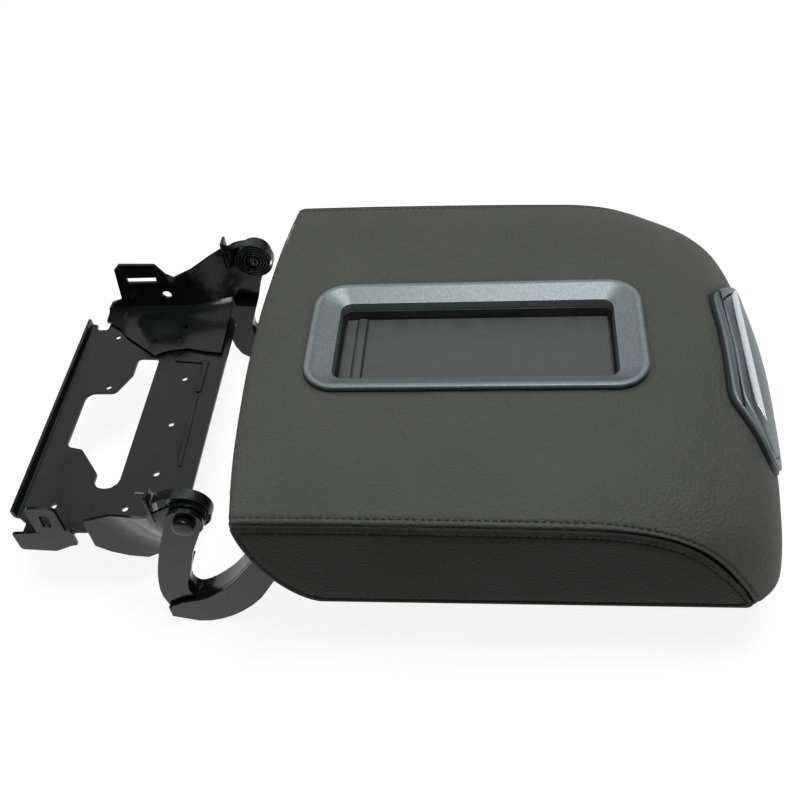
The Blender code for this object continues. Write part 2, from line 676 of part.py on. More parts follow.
LATCH_CLEAR = 1.2 * MM       # leather to the frame, all round
LATCH_HOLE_FRONT = 14 * MM
latch_hole = add_cutter("latch_hole", latch_plate(
    ((-LATCH_CLEAR, HOUSING_BACK - GAP), (-LATCH_CLEAR, LATCH_HOLE_FRONT)),
    LATCH_HOLE_FRONT, HOUSING_BACK - GAP))
latch_frame = add_piece("latch_frame", loft_mesh([
    latch_ring(0, FRAME_BACK), latch_ring(0, LATCH_PROUD - 1.4 * MM),
    latch_ring(0.8 * MM, LATCH_PROUD), latch_ring(FRAME_WIDTH - 1 * MM, LATCH_PROUD - 0.6 * MM),
    latch_ring(FRAME_WIDTH, LATCH_PROUD - 1.6 * MM), latch_ring(FRAME_WIDTH, FRAME_BACK)],
    closed_tube=True), BEZEL_PAINT, lid_body)
add_piece("latch_housing", latch_plate(
    ((0.3 * MM, HOUSING_BACK), (0.3 * MM, FRAME_BACK - GAP)), FRAME_BACK - GAP, HOUSING_BACK),
    BLACK_PLASTIC, lid_body)

handle_axis = front_point(HANDLE_PIN_U, 0, HANDLE_PIN_PROUD)
handle_body = add_body("handle_axis", handle_axis, lid_body)
handle = add_piece("latch_handle", latch_plate(
    ((HANDLE_INSET, HANDLE_BACK), (HANDLE_INSET, 0.4 * MM),
     (HANDLE_INSET + 1.5 * MM, LATCH_PROUD - 1.2 * MM)), LATCH_PROUD - 0.4 * MM, HANDLE_BACK,
    FINGER_GAP), BEZEL_PAINT, handle_body)


def pin_line(half):
    x, _, z = handle_axis
    return (x, -half, z), (x, half, z)


pin_bore = add_cutter("handle_pin_bore", rod_mesh(
    *pin_line(HANDLE_PIN_HALF + GAP), HANDLE_PIN_R + RUNNING, 12))
combine(latch_frame, "DIFFERENCE", pin_bore)
combine(handle, "DIFFERENCE", pin_bore)
add_piece("latch_handle_pin", rod_mesh(*pin_line(HANDLE_PIN_HALF), HANDLE_PIN_R, 12),
          BLACK_STEEL, lid_body)

STRIP_ROWS = (0.20, 0.26, 0.32)
STRIP_HALF = 0.62
STRIP_SPREAD = 0.15          # the strip widens with the handle down its face
STRIP_LIFT = 0.2 * MM
STRIP_SHEET = 0.8 * MM
columns = []
for step in range(-6, 7):
    column = []
    for row, down in enumerate(STRIP_ROWS):
        u = LATCH_TOP_U + (LATCH_BOTTOM_U - LATCH_TOP_U) * down
        half = (STRIP_HALF + STRIP_SPREAD * row / (len(STRIP_ROWS) - 1)) * LATCH_HALF_WIDE
        column.append(front_point(u, half * step / 6, LATCH_PROUD - 0.4 * MM + GAP + STRIP_LIFT))
    columns.append(column)
strip = add_piece("latch_bright_strip", grid_mesh(columns), BRIGHT_TRIM, handle_body)
add_solidify(strip, STRIP_SHEET, 1.0)

# Underside liner with its screws, bumpers and the hook's slot

LINER_INSET = 8 * MM
LINER_FLANGE = 42 * MM
LINER_RISE = 14.5 * MM
LINER_DRAFT = 5 * MM
LINER_TOP = -LID_DEPTH - GAP
LINER_BOTTOM = LINER_TOP - LINER
SCREW_Y = HALF_WIDTH - 18 * MM
FIRST_SCREW_X = REAR_RUN + 33 * MM
LAST_SCREW_X = SEAM_LENGTH - 34 * MM
SCREW_X = (FIRST_SCREW_X, (FIRST_SCREW_X + LAST_SCREW_X) / 2, LAST_SCREW_X)
BOSS_R = 4 * MM
SCREW_R = 1.9 * MM
SCREW_HEAD_R = 3.5 * MM
SCREW_HEAD = 2.2 * MM
SCREW_LENGTH = 12 * MM
BUMPER_X = (REAR_RUN + 63 * MM, SEAM_LENGTH - 64 * MM)
BUMPER_Y = HALF_WIDTH - 21 * MM
BUMPER_R = 6 * MM
BUMPER_HEIGHT = 5 * MM


def liner_ring(inset, z):
    return [(x, y, z) for x, y in bottom_outline(inset)]


liner = add_piece("underside_liner", loft_mesh([
    liner_ring(LINER_FLANGE + LINER_DRAFT - LINER, LINER_TOP + LINER_RISE),
    liner_ring(LINER_FLANGE - LINER, LINER_TOP), liner_ring(LINER_INSET, LINER_TOP),
    liner_ring(LINER_INSET, LINER_BOTTOM), liner_ring(LINER_FLANGE, LINER_BOTTOM),
    liner_ring(LINER_FLANGE + LINER_DRAFT, LINER_BOTTOM + LINER_RISE)]), BLACK_PLASTIC, lid_body)

hem_height = -LID_DEPTH + SUBSTRATE_INSET + SUBSTRATE / 2
for side in (-1, 1):
    end = "near" if side < 0 else "far"
    for number, x in enumerate(SCREW_X, 1):
        y = side * SCREW_Y
        boss = add_cutter("liner_boss", rod_mesh((x, y, -LID_DEPTH + GAP), (x, y, hem_height),
                                                 BOSS_R, 12))
        combine(substrate, "UNION", boss)
        bore = add_cutter("liner_bore", rod_mesh(
            (x, y, LINER_BOTTOM - 1 * MM), (x, y, LINER_BOTTOM + SCREW_LENGTH + 1 * MM),
            SCREW_R + GAP, 10))
        combine(liner, "DIFFERENCE", bore)
        combine(substrate, "DIFFERENCE", bore)
        turned_piece("liner_screw_%s_%d" % (end, number), [
            (0, SCREW_LENGTH), (SCREW_R, SCREW_LENGTH), (SCREW_R, -GAP), (SCREW_HEAD_R, -GAP),
            (SCREW_HEAD_R, -1.2 * MM), (SCREW_HEAD_R - 1.3 * MM, -SCREW_HEAD),
            (0, -SCREW_HEAD)], BLACK_STEEL, lid_body, (x, y, LINER_BOTTOM), "Z", 10)
    for number, x in enumerate(BUMPER_X, 1):
        y = side * BUMPER_Y
        hole = add_cutter("bumper_hole", rod_mesh(
            (x, y, LINER_BOTTOM - 1 * MM), (x, y, LINER_TOP + 1 * MM), SCREW_R + 3 * GAP, 10))
        combine(liner, "DIFFERENCE", hole)
        turned_piece("bumper_%s_%d" % (end, number), [
            (0, LINER + 2 * MM), (SCREW_R + GAP, LINER + 2 * MM), (SCREW_R + GAP, -GAP),
            (BUMPER_R, -GAP), (BUMPER_R, -BUMPER_HEIGHT + 1 * MM),
            (BUMPER_R - 1 * MM, -BUMPER_HEIGHT), (0, -BUMPER_HEIGHT)],
            MAT_RUBBER, lid_body, (x, y, LINER_BOTTOM), "Z", 14)

# Hook that holds the lid shut, on its pin in a bracket over the liner

HOOK_Z = -HOOK_PIVOT_DEPTH
HOOK_BODY = 4 * MM
HOOK_TIP_Z = -LID_DEPTH - HOOK_REACH
BRACKET_SHEET = 2 * MM
HOOK_SLOT = ((HOOK_X - 9.5 * MM, -HOOK_THICKNESS / 2 - 1.5 * MM),
             (HOOK_X + 6.5 * MM, HOOK_THICKNESS / 2 + 1.5 * MM))
hook_body = add_body("hook_axis", (HOOK_X, 0, HOOK_Z), lid_body)
hook_outline = rounded_outline([
    (HOOK_X - 6 * MM, HOOK_Z + 6 * MM, 4 * MM), (HOOK_X - HOOK_BODY - 0.5 * MM, HOOK_TIP_Z, 2 * MM),
    (HOOK_X + 3 * MM, HOOK_TIP_Z, 1.5 * MM), (HOOK_X + 5.5 * MM, HOOK_TIP_Z + 9 * MM, 1 * MM),
    (HOOK_X + 1.5 * MM, HOOK_TIP_Z + 10 * MM, 1.5 * MM), (HOOK_X + 6 * MM, HOOK_Z + 6 * MM, 4 * MM)])
add_piece("latch_hook", flat_mesh(
    [hook_outline, circle(HOOK_X, HOOK_Z, HOOK_PIN_R + RUNNING, 12)], HOOK_THICKNESS, "XZ", 0),
    BLACK_STEEL, hook_body)
hook_slot = add_cutter("hook_slot", box_mesh(
    (*HOOK_SLOT[0], LINER_BOTTOM - 2 * MM), (*HOOK_SLOT[1], LINER_TOP + 6 * MM)))
combine(liner, "DIFFERENCE", hook_slot)
ear_inner = HOOK_THICKNESS / 2 + GAP
hook_bracket = add_piece("hook_bracket", box_mesh(
    (HOOK_X - 12 * MM, -ear_inner - 9 * MM, LINER_TOP + GAP),
    (HOOK_X + 9 * MM, ear_inner + 9 * MM, LINER_TOP + GAP + BRACKET_SHEET)), BLACK_STEEL, lid_body)
combine(hook_bracket, "DIFFERENCE", hook_slot)
for side in (-1, 1):
    ear = rounded_outline([
        (HOOK_X - 9 * MM, LINER_TOP + GAP + 0.5 * MM, 0), (HOOK_X + 8 * MM, LINER_TOP + GAP + 0.5 * MM, 0),
        (HOOK_X + 6 * MM, HOOK_Z + 6.5 * MM, 4 * MM), (HOOK_X - 6 * MM, HOOK_Z + 6.5 * MM, 4 * MM)])
    level = side * (ear_inner + 1.6 * MM + BRACKET_SHEET / 2)
    combine(hook_bracket, "UNION", add_cutter("hook_ear", flat_mesh(
        [ear, circle(HOOK_X, HOOK_Z, HOOK_PIN_R + GAP, 12)], BRACKET_SHEET, "XZ", level)))
HOOK_PIN_HALF = ear_inner + 1.6 * MM + BRACKET_SHEET + 1 * MM
add_piece("latch_hook_pin", rod_mesh((HOOK_X, -HOOK_PIN_HALF, HOOK_Z),
                                     (HOOK_X, HOOK_PIN_HALF, HOOK_Z), HOOK_PIN_R, 12),
          BLACK_STEEL, lid_body)

# Openings in the layers of the lid

combine(leather_cover, "DIFFERENCE", cover_inside, bezel_hole, latch_hole, *arm_slots)
cover_opening = add_cutter("cover_opening", flat_mesh(
    [bottom_outline(HEM_WIDTH)], 40 * MM, "XY", -LID_DEPTH))
combine(leather_cover, "DIFFERENCE", cover_opening)
foam_opening = add_cutter("foam_opening", flat_mesh(
    [bottom_outline(FOAM_INSET + FOAM)], 60 * MM, "XY", -LID_DEPTH))
combine(foam_pad, "DIFFERENCE", foam_inside, bezel_hole, latch_hole, *arm_slots)
combine(foam_pad, "DIFFERENCE", foam_opening)
combine(substrate, "DIFFERENCE", substrate_inside, tray_hole, *arm_slots)
combine(substrate, "DIFFERENCE", underside_opening)

# Gooseneck arms: one stamped channel each, with a doubler welded to its side

ARM_CONCAVE = [(-41, -60), (-47, -80), (-54, -98), (-56, -110), (-52, -117), (-44, -115),
               (-32, -106), (-20, -94), (-8, -78), (3, -63), (14, -50), (28, -41.5), (44, -40),
               (112, -40)]
ARM_CONVEX = [(-64, -56), (-71, -78), (-76, -98), (-78, -118), (-72, -138), (-56, -146),
              (-38, -142.5), (-20, -131), (-3, -113), (10, -91), (24, -72), (40, -59),
              (56, -55.5), (112, -55)]
ARM_SCREW_X = (64 * MM, 98 * MM)
ARM_EYE_ARC = (-50, 185)     # degrees round the eye that its rim covers
PATH_STEPS = 2


def arm_path(points):
    return smooth_path([(x * MM, z * MM) for x, z in points], PATH_STEPS)


def between(start, end, distance):
    """A point from start towards end, or past it."""
    start, end = Vector(start), Vector(end)
    return tuple(start + (end - start).normalized() * distance)


concave = arm_path(ARM_CONCAVE)
convex = arm_path(ARM_CONVEX)
web_top = ARM_CONCAVE[-1][1] * MM
eye_rim = [(PIVOT_X + ARM_EYE_R * math.cos(math.radians(turn)),
            PIVOT_Z + ARM_EYE_R * math.sin(math.radians(turn)))
           for turn in range(ARM_EYE_ARC[0], ARM_EYE_ARC[1] + 1, 15)]
leg_end = 3 * PATH_STEPS
eye_outline = eye_rim + convex[:leg_end] + concave[:leg_end - 1][::-1]
pin_hole = circle(PIVOT_X, PIVOT_Z, PIN_R + RUNNING, 20)
channel_start = PATH_STEPS
channel_outline = convex[channel_start:] + concave[channel_start:][::-1]
pocket_pairs = list(zip(concave, convex))[channel_start + 2:]
pocket_pairs.append(tuple((x + 5 * MM, z) for x, z in pocket_pairs[-1]))
pocket_outline = ([between(inner, outer, ARM_WALL) for inner, outer in pocket_pairs]
                  + [between(outer, inner, -8 * MM) for inner, outer in reversed(pocket_pairs)])
doubler_first, doubler_last = 9, 10 * PATH_STEPS
doubler_outline = ([(-76 * MM, -141 * MM), (-76 * MM, -129 * MM), (-64 * MM, -121.5 * MM)]
                   + concave[doubler_first:doubler_last + 1]
                   + [between(inner, outer, (Vector(outer) - Vector(inner)).length + 1 * MM)
                      for inner, outer in
                      list(zip(concave, convex))[doubler_last:doubler_first - 1:-1]])
arm_middle_y = (ARM_OUTER_Y + ARM_INNER_Y) / 2

for end, side in (("near", -1), ("far", 1)):
    arm = add_piece(end + "_hinge_arm", flat_mesh(
        [channel_outline], ARM_DEPTH, "XZ", side * arm_middle_y), BLACK_STEEL, lid_body)
    combine(arm, "DIFFERENCE", add_cutter("arm_pocket", flat_mesh(
        [pocket_outline], ARM_DEPTH - 2 * ARM_WALL, "XZ", side * arm_middle_y)))
    combine(arm, "UNION", add_cutter("arm_eye", flat_mesh(
        [eye_outline, pin_hole], ARM_PLATE, "XZ", side * (ARM_OUTER_Y - ARM_PLATE / 2))))
    add_piece(end + "_arm_doubler", flat_mesh(
        [doubler_outline], DOUBLER, "XZ", side * (DOUBLER_OUTER_Y - DOUBLER / 2)),
        BLACK_STEEL, lid_body)
    for number, x in enumerate(ARM_SCREW_X, 1):
        y = side * arm_middle_y
        boss_top = top_height(x, y, SUBSTRATE_INSET + SUBSTRATE / 2, SUBSTRATE_HALF)
        combine(substrate, "UNION", add_cutter("arm_boss", rod_mesh(
            (x, y, web_top + GAP), (x, y, boss_top), 5 * MM, 14)))
        bore = add_cutter("arm_bore", rod_mesh(
            (x, y, web_top - ARM_WALL - 1 * MM), (x, y, web_top + SCREW_LENGTH),
            SCREW_R + GAP, 10))
        combine(substrate, "DIFFERENCE", bore)
        combine(arm, "DIFFERENCE", bore)
        turned_piece("arm_screw_%s_%d" % (end, number), [
            (0, SCREW_LENGTH), (SCREW_R, SCREW_LENGTH), (SCREW_R, -GAP), (SCREW_HEAD_R, -GAP),
            (SCREW_HEAD_R, -1.2 * MM), (SCREW_HEAD_R - 1.3 * MM, -SCREW_HEAD),
            (0, -SCREW_HEAD)], BLACK_STEEL, lid_body, (x, y, web_top - ARM_WALL), "Z", 10)

# Pivot pins, washers and clock springs

EAR_OUTER_Y = EAR_Y + SHEET / 2
SPRING_OUTER_Y = EAR_Y - SHEET / 2 - GAP
PIN_LENGTH = ARM_OUTER_Y + GAP - (SPRING_OUTER_Y - SPRING_WIDTH)
ANCHOR_X = PIVOT_X - 24 * MM
ANCHOR_SHEET = 2.5 * MM


def spiral_strip(side):
    """Middle line of the clock spring, ending in a straight tail to its anchor."""
    inner = PIN_R + RUNNING + SPRING_STRIP
    outer = SPRING_OUTER - SPRING_STRIP / 2
    steps = round(SPRING_TURNS * 14)
    line = []
    for step in range(steps + 1):
        share = step / steps
        turn = math.pi / 2 - 2 * math.pi * SPRING_TURNS * (1 - share)
        radius = inner + (outer - inner) * share
        line.append((PIVOT_X + radius * math.cos(turn), PIVOT_Z + radius * math.sin(turn)))
    tail_end = ANCHOR_X + ANCHOR_SHEET / 2 + GAP
    tail_start = line[-1]
    for share in (0.5, 1.0):
        line.append((tail_start[0] + (tail_end - tail_start[0]) * share, tail_start[1]))
    near_y, far_y = side * (SPRING_OUTER_Y - SPRING_WIDTH), side * SPRING_OUTER_Y
    return [[(x, near_y, z), (x, far_y, z)] for x, z in line]


for end, side, outward in (("near", -1, "-Y"), ("far", 1, "Y")):
    turned_piece(end + "_pivot_pin", [
        (0, PIN_HEAD), (PIN_HEAD_R - 1 * MM, PIN_HEAD), (PIN_HEAD_R, PIN_HEAD - 1 * MM),
        (PIN_HEAD_R, 0), (PIN_R, 0), (PIN_R, 1 * MM - PIN_LENGTH), (PIN_R - 1 * MM, -PIN_LENGTH),
        (0, -PIN_LENGTH)], BLACK_STEEL, lid_body,
        (PIVOT_X, side * (ARM_OUTER_Y + GAP), PIVOT_Z), outward)
    washer_level = side * (EAR_OUTER_Y + GAP + WASHER / 2)
    add_piece(end + "_pivot_washer", flat_mesh(
        [circle(PIVOT_X, PIVOT_Z, 10 * MM, 20), pin_hole], WASHER, "XZ", washer_level),
        BLACK_PLASTIC, bracket_body)
    spring = add_piece(end + "_clock_spring", grid_mesh(spiral_strip(side)), SPRING_STEEL,
                       bracket_body)
    add_solidify(spring, SPRING_STRIP, 0.0)

# Hinge bracket: the main plate with its window, lip, slotted tab and beam

END = SIDE_Y / MM            # the plate's ends, which its cut-outs are measured from
WINDOW = [(-137, END - 56, 3), (-118, END - 57, 4), (-118, 40 - END, 9), (-138, 41 - END, 8),
          (-138, 55 - END, 3), (-157, -39, 4), (-171, -36, 6), (-171, 22, 7), (-147, 22, 5),
          (-137, 43, 3)]
PLATE_EDGE_Y = SIDE_Y - SHEET / 2 - GAP
RAMP_HOLES = [(-102, END - 23), (-105, END - 37), (-126, END - 40)]
PLATE_HOLES = [(-162, END - 30), (-154, 28), (-163, 24 - END), (-107, 22 - END)] + RAMP_HOLES


def in_mm(corners):
    return [tuple(value * MM for value in corner) for corner in corners]


plate_outline = rounded_outline([
    (PLATE_REAR_X, -LIP_HALF, 0), (PLATE_REAR_X + 8 * MM, -LIP_HALF - 6 * MM, 2 * MM),
    (PLATE_REAR_X + 8 * MM, -SIDE_Y, 0), (-141 * MM, -SIDE_Y, 0), (-139 * MM, -PLATE_EDGE_Y, 0),
    (-92 * MM, -PLATE_EDGE_Y, 4 * MM), (-82 * MM, -SIDE_Y + 19 * MM, 4 * MM),
    (PLATE_FRONT_X, -SIDE_Y + 21 * MM, 4 * MM), (PLATE_FRONT_X, SIDE_Y - 13 * MM, 5 * MM),
    (-70 * MM, PLATE_EDGE_Y, 4 * MM), (-172 * MM, PLATE_EDGE_Y, 3 * MM),
    (-174 * MM, LIP_HALF - 7 * MM, 2 * MM), (PLATE_REAR_X + 5 * MM, LIP_HALF - 7 * MM, 2 * MM),
    (PLATE_REAR_X, LIP_HALF, 0)])
holes = [circle(x * MM, y * MM, SMALL_HOLE_R, 12) for x, y in PLATE_HOLES]
holes += [circle(BEAM_HOLE_X, BEAM_HOLE_MID_Y + BEAM_HOLE_PITCH * step, SMALL_HOLE_R, 12)
          for step in (-1, 0, 1)]
slit = rounded_outline(in_mm([(-105, -81.5, 0.7), (-79, -82.5, 0.7), (-79, -80.5, 0.7),
                              (-105, -79.5, 0.7)]), 1)
plate = add_piece("hinge_bracket_plate", flat_mesh(
    [plate_outline, rounded_outline(in_mm(WINDOW)), slit] + holes, SHEET, "XY",
    PLATE_TOP - SHEET / 2), BLACK_STEEL, bracket_body)

LIP_BEND = 3 * MM
lip_line = [(PLATE_REAR_X + 2 * MM, PLATE_TOP - SHEET / 2)]
lip_line += [(PLATE_REAR_X - LIP_BEND * math.sin(turn),
              PLATE_TOP - SHEET / 2 + LIP_BEND * (1 - math.cos(turn)))
             for turn in (0, math.pi / 6, math.pi / 3, math.pi / 2)]
lip_line.append((PLATE_REAR_X - LIP_BEND, PLATE_TOP - SHEET / 2 + LIP_HEIGHT))
lip = add_cutter("lip", grid_mesh([[(x, y, z) for x, z in lip_line]
                                   for y in (-LIP_HALF, LIP_HALF)]))
add_solidify(lip, SHEET, 0.0)
TAB = [(-187, -76, 0), (-187, -95, 3), (-160, -97, 4), (-146, -90, 4), (-141, -89, 1),
       (-141, -72, 1), (-145, -71, 1), (-145, -45, 4), (-167, -45, 4), (-167, -74, 0.5)]
tab_slot = rounded_outline(in_mm([(-160, -67, 2), (-153, -67, 2), (-151.5, -53, 2),
                                  (-158.5, -53, 2)]), 3)
tab = add_cutter("slotted_tab", flat_mesh([rounded_outline(in_mm(TAB)), tab_slot], SHEET, "XZ",
                                          -SIDE_Y))
bead = add_cutter("corner_bead", flat_mesh([rounded_outline(in_mm([
    (-104, END - 61.5, 2), (-79, END - 64, 2), (-79, 21, 2), (-74, 21, 2), (-74, END - 59, 3),
    (-104, END - 56.5, 2)]))],
    SHEET, "XY", PLATE_TOP + 1.2 * MM - SHEET / 2))
step_rib = add_cutter("step_rib", flat_mesh([rounded_outline(in_mm([
    (-78, 18, 1), (-76, -56, 1), (-73, -56, 1), (-75, 18, 1)]))],
    SHEET, "XY", PLATE_TOP + 0.8 * MM - SHEET / 2))
combine(plate, "UNION", lip, tab, bead, step_rib)

# Side walls of the bracket, flared out to the pivot ears

NEAR_WALL = [(-128, -60, -90), (-118, -56.5, -97), (-105, -52, -102), (-91, -46, -104),
             (-78, -38, -97), (-67, -29, -82), (-57, -21, -62), (-50, -17, -48)]
FAR_WALL = [(-176, -68), (-171, -61), (-161, -58), (-158, -24), (-153, -19), (-122, -20),
            (-115, -31), (-109, -35), (-94, -31), (-78, -24), (-65, -18), (-50, -15)]
RAMP_REACH = [13, 15, 22, 26, 32, 56, 52, 50, 48, 52, 54]
WALL_FOOT = -66 * MM
WALL_MARGIN = 3 * MM         # least height of a wall over its foot
EAR_STEPS = (90, 60, 38, 18)
WALL_ROWS = 4
RAMP_SEAT = PLATE_TOP + SHEET / 2 + GAP


def wall_y(x, z):
    """Distance of the wall's sheet from the centre line, flared towards the pivot."""
    reach = math.hypot(x - PIVOT_X, z - PIVOT_Z)
    share = min(max((reach - FLARE_START) / (FLARE_END - FLARE_START), 0.0), 1.0)
    return EAR_Y + (SIDE_Y - EAR_Y) * share * share * (3 - 2 * share)


def wall_column(side, x, top, bottom):
    heights = [top + (bottom - top) * row / WALL_ROWS for row in range(WALL_ROWS + 1)]
    return [(x, side * wall_y(x, z), z) for z in heights]


def ear_columns(side):
    columns = []
    for turn in (math.radians(degrees) for degrees in EAR_STEPS):
        x, rise = PIVOT_X + EAR_R * math.cos(turn), EAR_R * math.sin(turn)
        columns.append(wall_column(side, x, PIVOT_Z + rise, PIVOT_Z - rise))
    return columns


near_columns = [wall_column(-1, x * MM, top * MM, bottom * MM) for x, top, bottom in NEAR_WALL]
far_columns = []
for index, (x, top) in enumerate(FAR_WALL):
    if index < len(RAMP_REACH):
        foot_z = min(WALL_FOOT, top * MM - WALL_MARGIN)
        column = wall_column(1, x * MM, top * MM, foot_z)
        foot_y, edge_y = column[-1][1], SIDE_Y - RAMP_REACH[index] * MM
        for inward, height in ((0.12, 0.55), (0.5, 0.8), (1.0, 1.0)):
            column.append((x * MM, foot_y + (edge_y - foot_y) * inward,
                           foot_z + (RAMP_SEAT - foot_z) * height))
    else:
        column = wall_column(1, x * MM, top * MM, -50 * MM)
    far_columns.append(column)

for end, side, outward, columns in (("near", -1, "-Y", near_columns + ear_columns(-1)),
                                    ("far", 1, "Y", far_columns + ear_columns(1))):
    wall = add_piece(end + "_side_bracket", grid_mesh(columns), BLACK_STEEL, bracket_body)
    add_solidify(wall, SHEET, 0.0)
    anchor_y = sorted((side * (EAR_Y + SHEET / 2), side * (SPRING_OUTER_Y - SPRING_WIDTH)))
    combine(wall, "UNION", add_cutter("spring_anchor", box_mesh(
        (ANCHOR_X - ANCHOR_SHEET / 2, anchor_y[0], PIVOT_Z - 7 * MM),
        (ANCHOR_X + ANCHOR_SHEET / 2, anchor_y[1], PIVOT_Z + 19 * MM), 0.4 * MM)))
    combine(wall, "DIFFERENCE", add_cutter("ear_hole", rod_mesh(
        (PIVOT_X, side * (EAR_Y - 5 * MM), PIVOT_Z), (PIVOT_X, side * (EAR_Y + 5 * MM), PIVOT_Z),
        PIN_R + RUNNING)))
    if side < 0:
        combine(wall, "UNION", add_cutter("near_foot", box_mesh(
            (-126 * MM, -SIDE_Y, PLATE_TOP - SHEET - GAP - SHEET),
            (-97 * MM, -SIDE_Y + 18 * MM, PLATE_TOP - SHEET - GAP))))
    else:
        slot_low = (-150 * MM, SIDE_Y - 10 * MM, -39 * MM)
        slot_high = (-124 * MM, SIDE_Y + 10 * MM, -33.5 * MM)
        combine(wall, "DIFFERENCE", add_cutter("far_slot", box_mesh(slot_low, slot_high)))
        combine(wall, "DIFFERENCE", add_cutter("far_hole", rod_mesh(
            (-119 * MM, SIDE_Y - 10 * MM, -53 * MM), (-119 * MM, SIDE_Y + 10 * MM, -53 * MM),
            4 * MM)))
        for x, y in RAMP_HOLES:
            combine(wall, "DIFFERENCE", add_cutter("ramp_hole", rod_mesh(
                (x * MM, y * MM, PLATE_TOP), (x * MM, y * MM, PLATE_TOP + 14 * MM),
                SMALL_HOLE_R, 12)))
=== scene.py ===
import math

import bmesh
import bpy
import numpy as np
from mathutils import Matrix, Vector


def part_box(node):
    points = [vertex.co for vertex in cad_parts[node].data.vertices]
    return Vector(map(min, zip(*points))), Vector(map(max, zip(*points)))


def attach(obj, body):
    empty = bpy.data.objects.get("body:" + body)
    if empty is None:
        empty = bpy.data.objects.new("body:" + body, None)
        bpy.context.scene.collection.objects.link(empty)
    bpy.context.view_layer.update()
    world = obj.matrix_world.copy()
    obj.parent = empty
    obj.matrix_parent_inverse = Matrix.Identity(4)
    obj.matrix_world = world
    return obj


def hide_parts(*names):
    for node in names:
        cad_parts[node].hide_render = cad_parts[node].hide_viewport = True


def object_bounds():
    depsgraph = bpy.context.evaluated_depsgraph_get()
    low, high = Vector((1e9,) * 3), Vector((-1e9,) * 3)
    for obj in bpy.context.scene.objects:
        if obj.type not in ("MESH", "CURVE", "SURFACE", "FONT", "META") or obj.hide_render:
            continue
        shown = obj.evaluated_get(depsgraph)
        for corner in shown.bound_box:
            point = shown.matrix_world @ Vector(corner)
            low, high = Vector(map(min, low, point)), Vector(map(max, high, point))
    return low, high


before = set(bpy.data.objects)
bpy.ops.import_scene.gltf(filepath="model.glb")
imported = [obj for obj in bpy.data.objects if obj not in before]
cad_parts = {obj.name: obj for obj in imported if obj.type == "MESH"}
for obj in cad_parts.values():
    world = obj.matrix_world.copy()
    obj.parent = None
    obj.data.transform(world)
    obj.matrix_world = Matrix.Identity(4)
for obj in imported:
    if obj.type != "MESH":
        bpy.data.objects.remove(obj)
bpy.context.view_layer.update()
MM = 0.001


# Camera: looking down on the near side of the lid, with the latch to the right and the hinge
# to the left, as the photograph does. Its place is measured from the rear end of the seams.

lid_low = Vector(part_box("leather_top_cover")[0])
LID_DEPTH = 88 * MM
REAR_BOW = 12 * MM
lid_origin = Vector((lid_low.x + REAR_BOW, 0, lid_low.z + LID_DEPTH))
CAMERA_PLACE = Vector((179.587, -518.783, 501.348)) * MM
yaw, pitch, roll = math.radians(-9.580), math.radians(47.013), math.radians(-7.475)
ahead = Vector((math.sin(yaw) * math.cos(pitch), math.cos(yaw) * math.cos(pitch),
                -math.sin(pitch)))
level = Vector((math.cos(yaw), -math.sin(yaw), 0))
upward = level.cross(ahead)
right = math.cos(roll) * level + math.sin(roll) * upward
up = -math.sin(roll) * level + math.cos(roll) * upward
camera_data = bpy.data.cameras.new("camera")
camera_data.lens = 44.93
camera_data.sensor_width = 36
camera = bpy.data.objects.new("camera", camera_data)
bpy.context.scene.collection.objects.link(camera)
camera.matrix_world = (Matrix.Translation(lid_origin + CAMERA_PLACE)
                       @ Matrix((right, up, -ahead)).transposed().to_4x4())
bpy.context.scene.camera = camera


# Hinge bracket plate: one blank of 2.5 mm sheet steel, blanked, bent and drawn in a press, and
# then dipped in black electrocoat. It bolts to the console by its flat underside.

def new_material(name, color, roughness, metallic=0.0):
    """A material with its shader, before its textures."""
    material = bpy.data.materials.new(name)
    material.use_nodes = True
    shader = material.node_tree.nodes["Principled BSDF"]
    shader.inputs["Base Color"].default_value = (*color, 1)
    shader.inputs["Roughness"].default_value = roughness
    shader.inputs["Metallic"].default_value = metallic
    return material, shader


def add_node(material, kind, links=(), **values):
    """A node with its values; links are pairs of input name and the output that feeds it."""
    node = material.node_tree.nodes.new(kind)
    for key, value in values.items():
        if key in node.inputs:
            node.inputs[key].default_value = value
        else:
            setattr(node, key, value)
    for name, source in links:
        material.node_tree.links.new(source, node.inputs[name])
    return node


def object_coordinates(material):
    return add_node(material, "ShaderNodeTexCoord").outputs["Object"]


TEXTURE_LOW, TEXTURE_HIGH = 0.3, 0.7     # most of a noise texture lies between these


def vary(material, shader, source, socket, low, high):
    """Drive a shader value from low to high by a texture."""
    spread = add_node(material, "ShaderNodeMapRange", [("Value", source)],
                      **{"From Min": TEXTURE_LOW, "From Max": TEXTURE_HIGH,
                         "To Min": low, "To Max": high})
    material.node_tree.links.new(spread.outputs["Result"], shader.inputs[socket])


def tint(material, shader, source, dark, light):
    """Mottle the base colour between two colours by a texture."""
    ramp = add_node(material, "ShaderNodeValToRGB", [("Fac", source)])
    for element, place, color in zip(ramp.color_ramp.elements, (TEXTURE_LOW, TEXTURE_HIGH),
                                     (dark, light)):
        element.position = place
        element.color = (*color, 1)
    material.node_tree.links.new(ramp.outputs["Color"], shader.inputs["Base Color"])


def roughen(material, shader, source, strength, depth):
    """Raise the surface by a texture, to a depth in metres."""
    bump = add_node(material, "ShaderNodeBump", [("Height", source)],
                    Strength=strength, Distance=depth)
    material.node_tree.links.new(bump.outputs["Normal"], shader.inputs["Normal"])


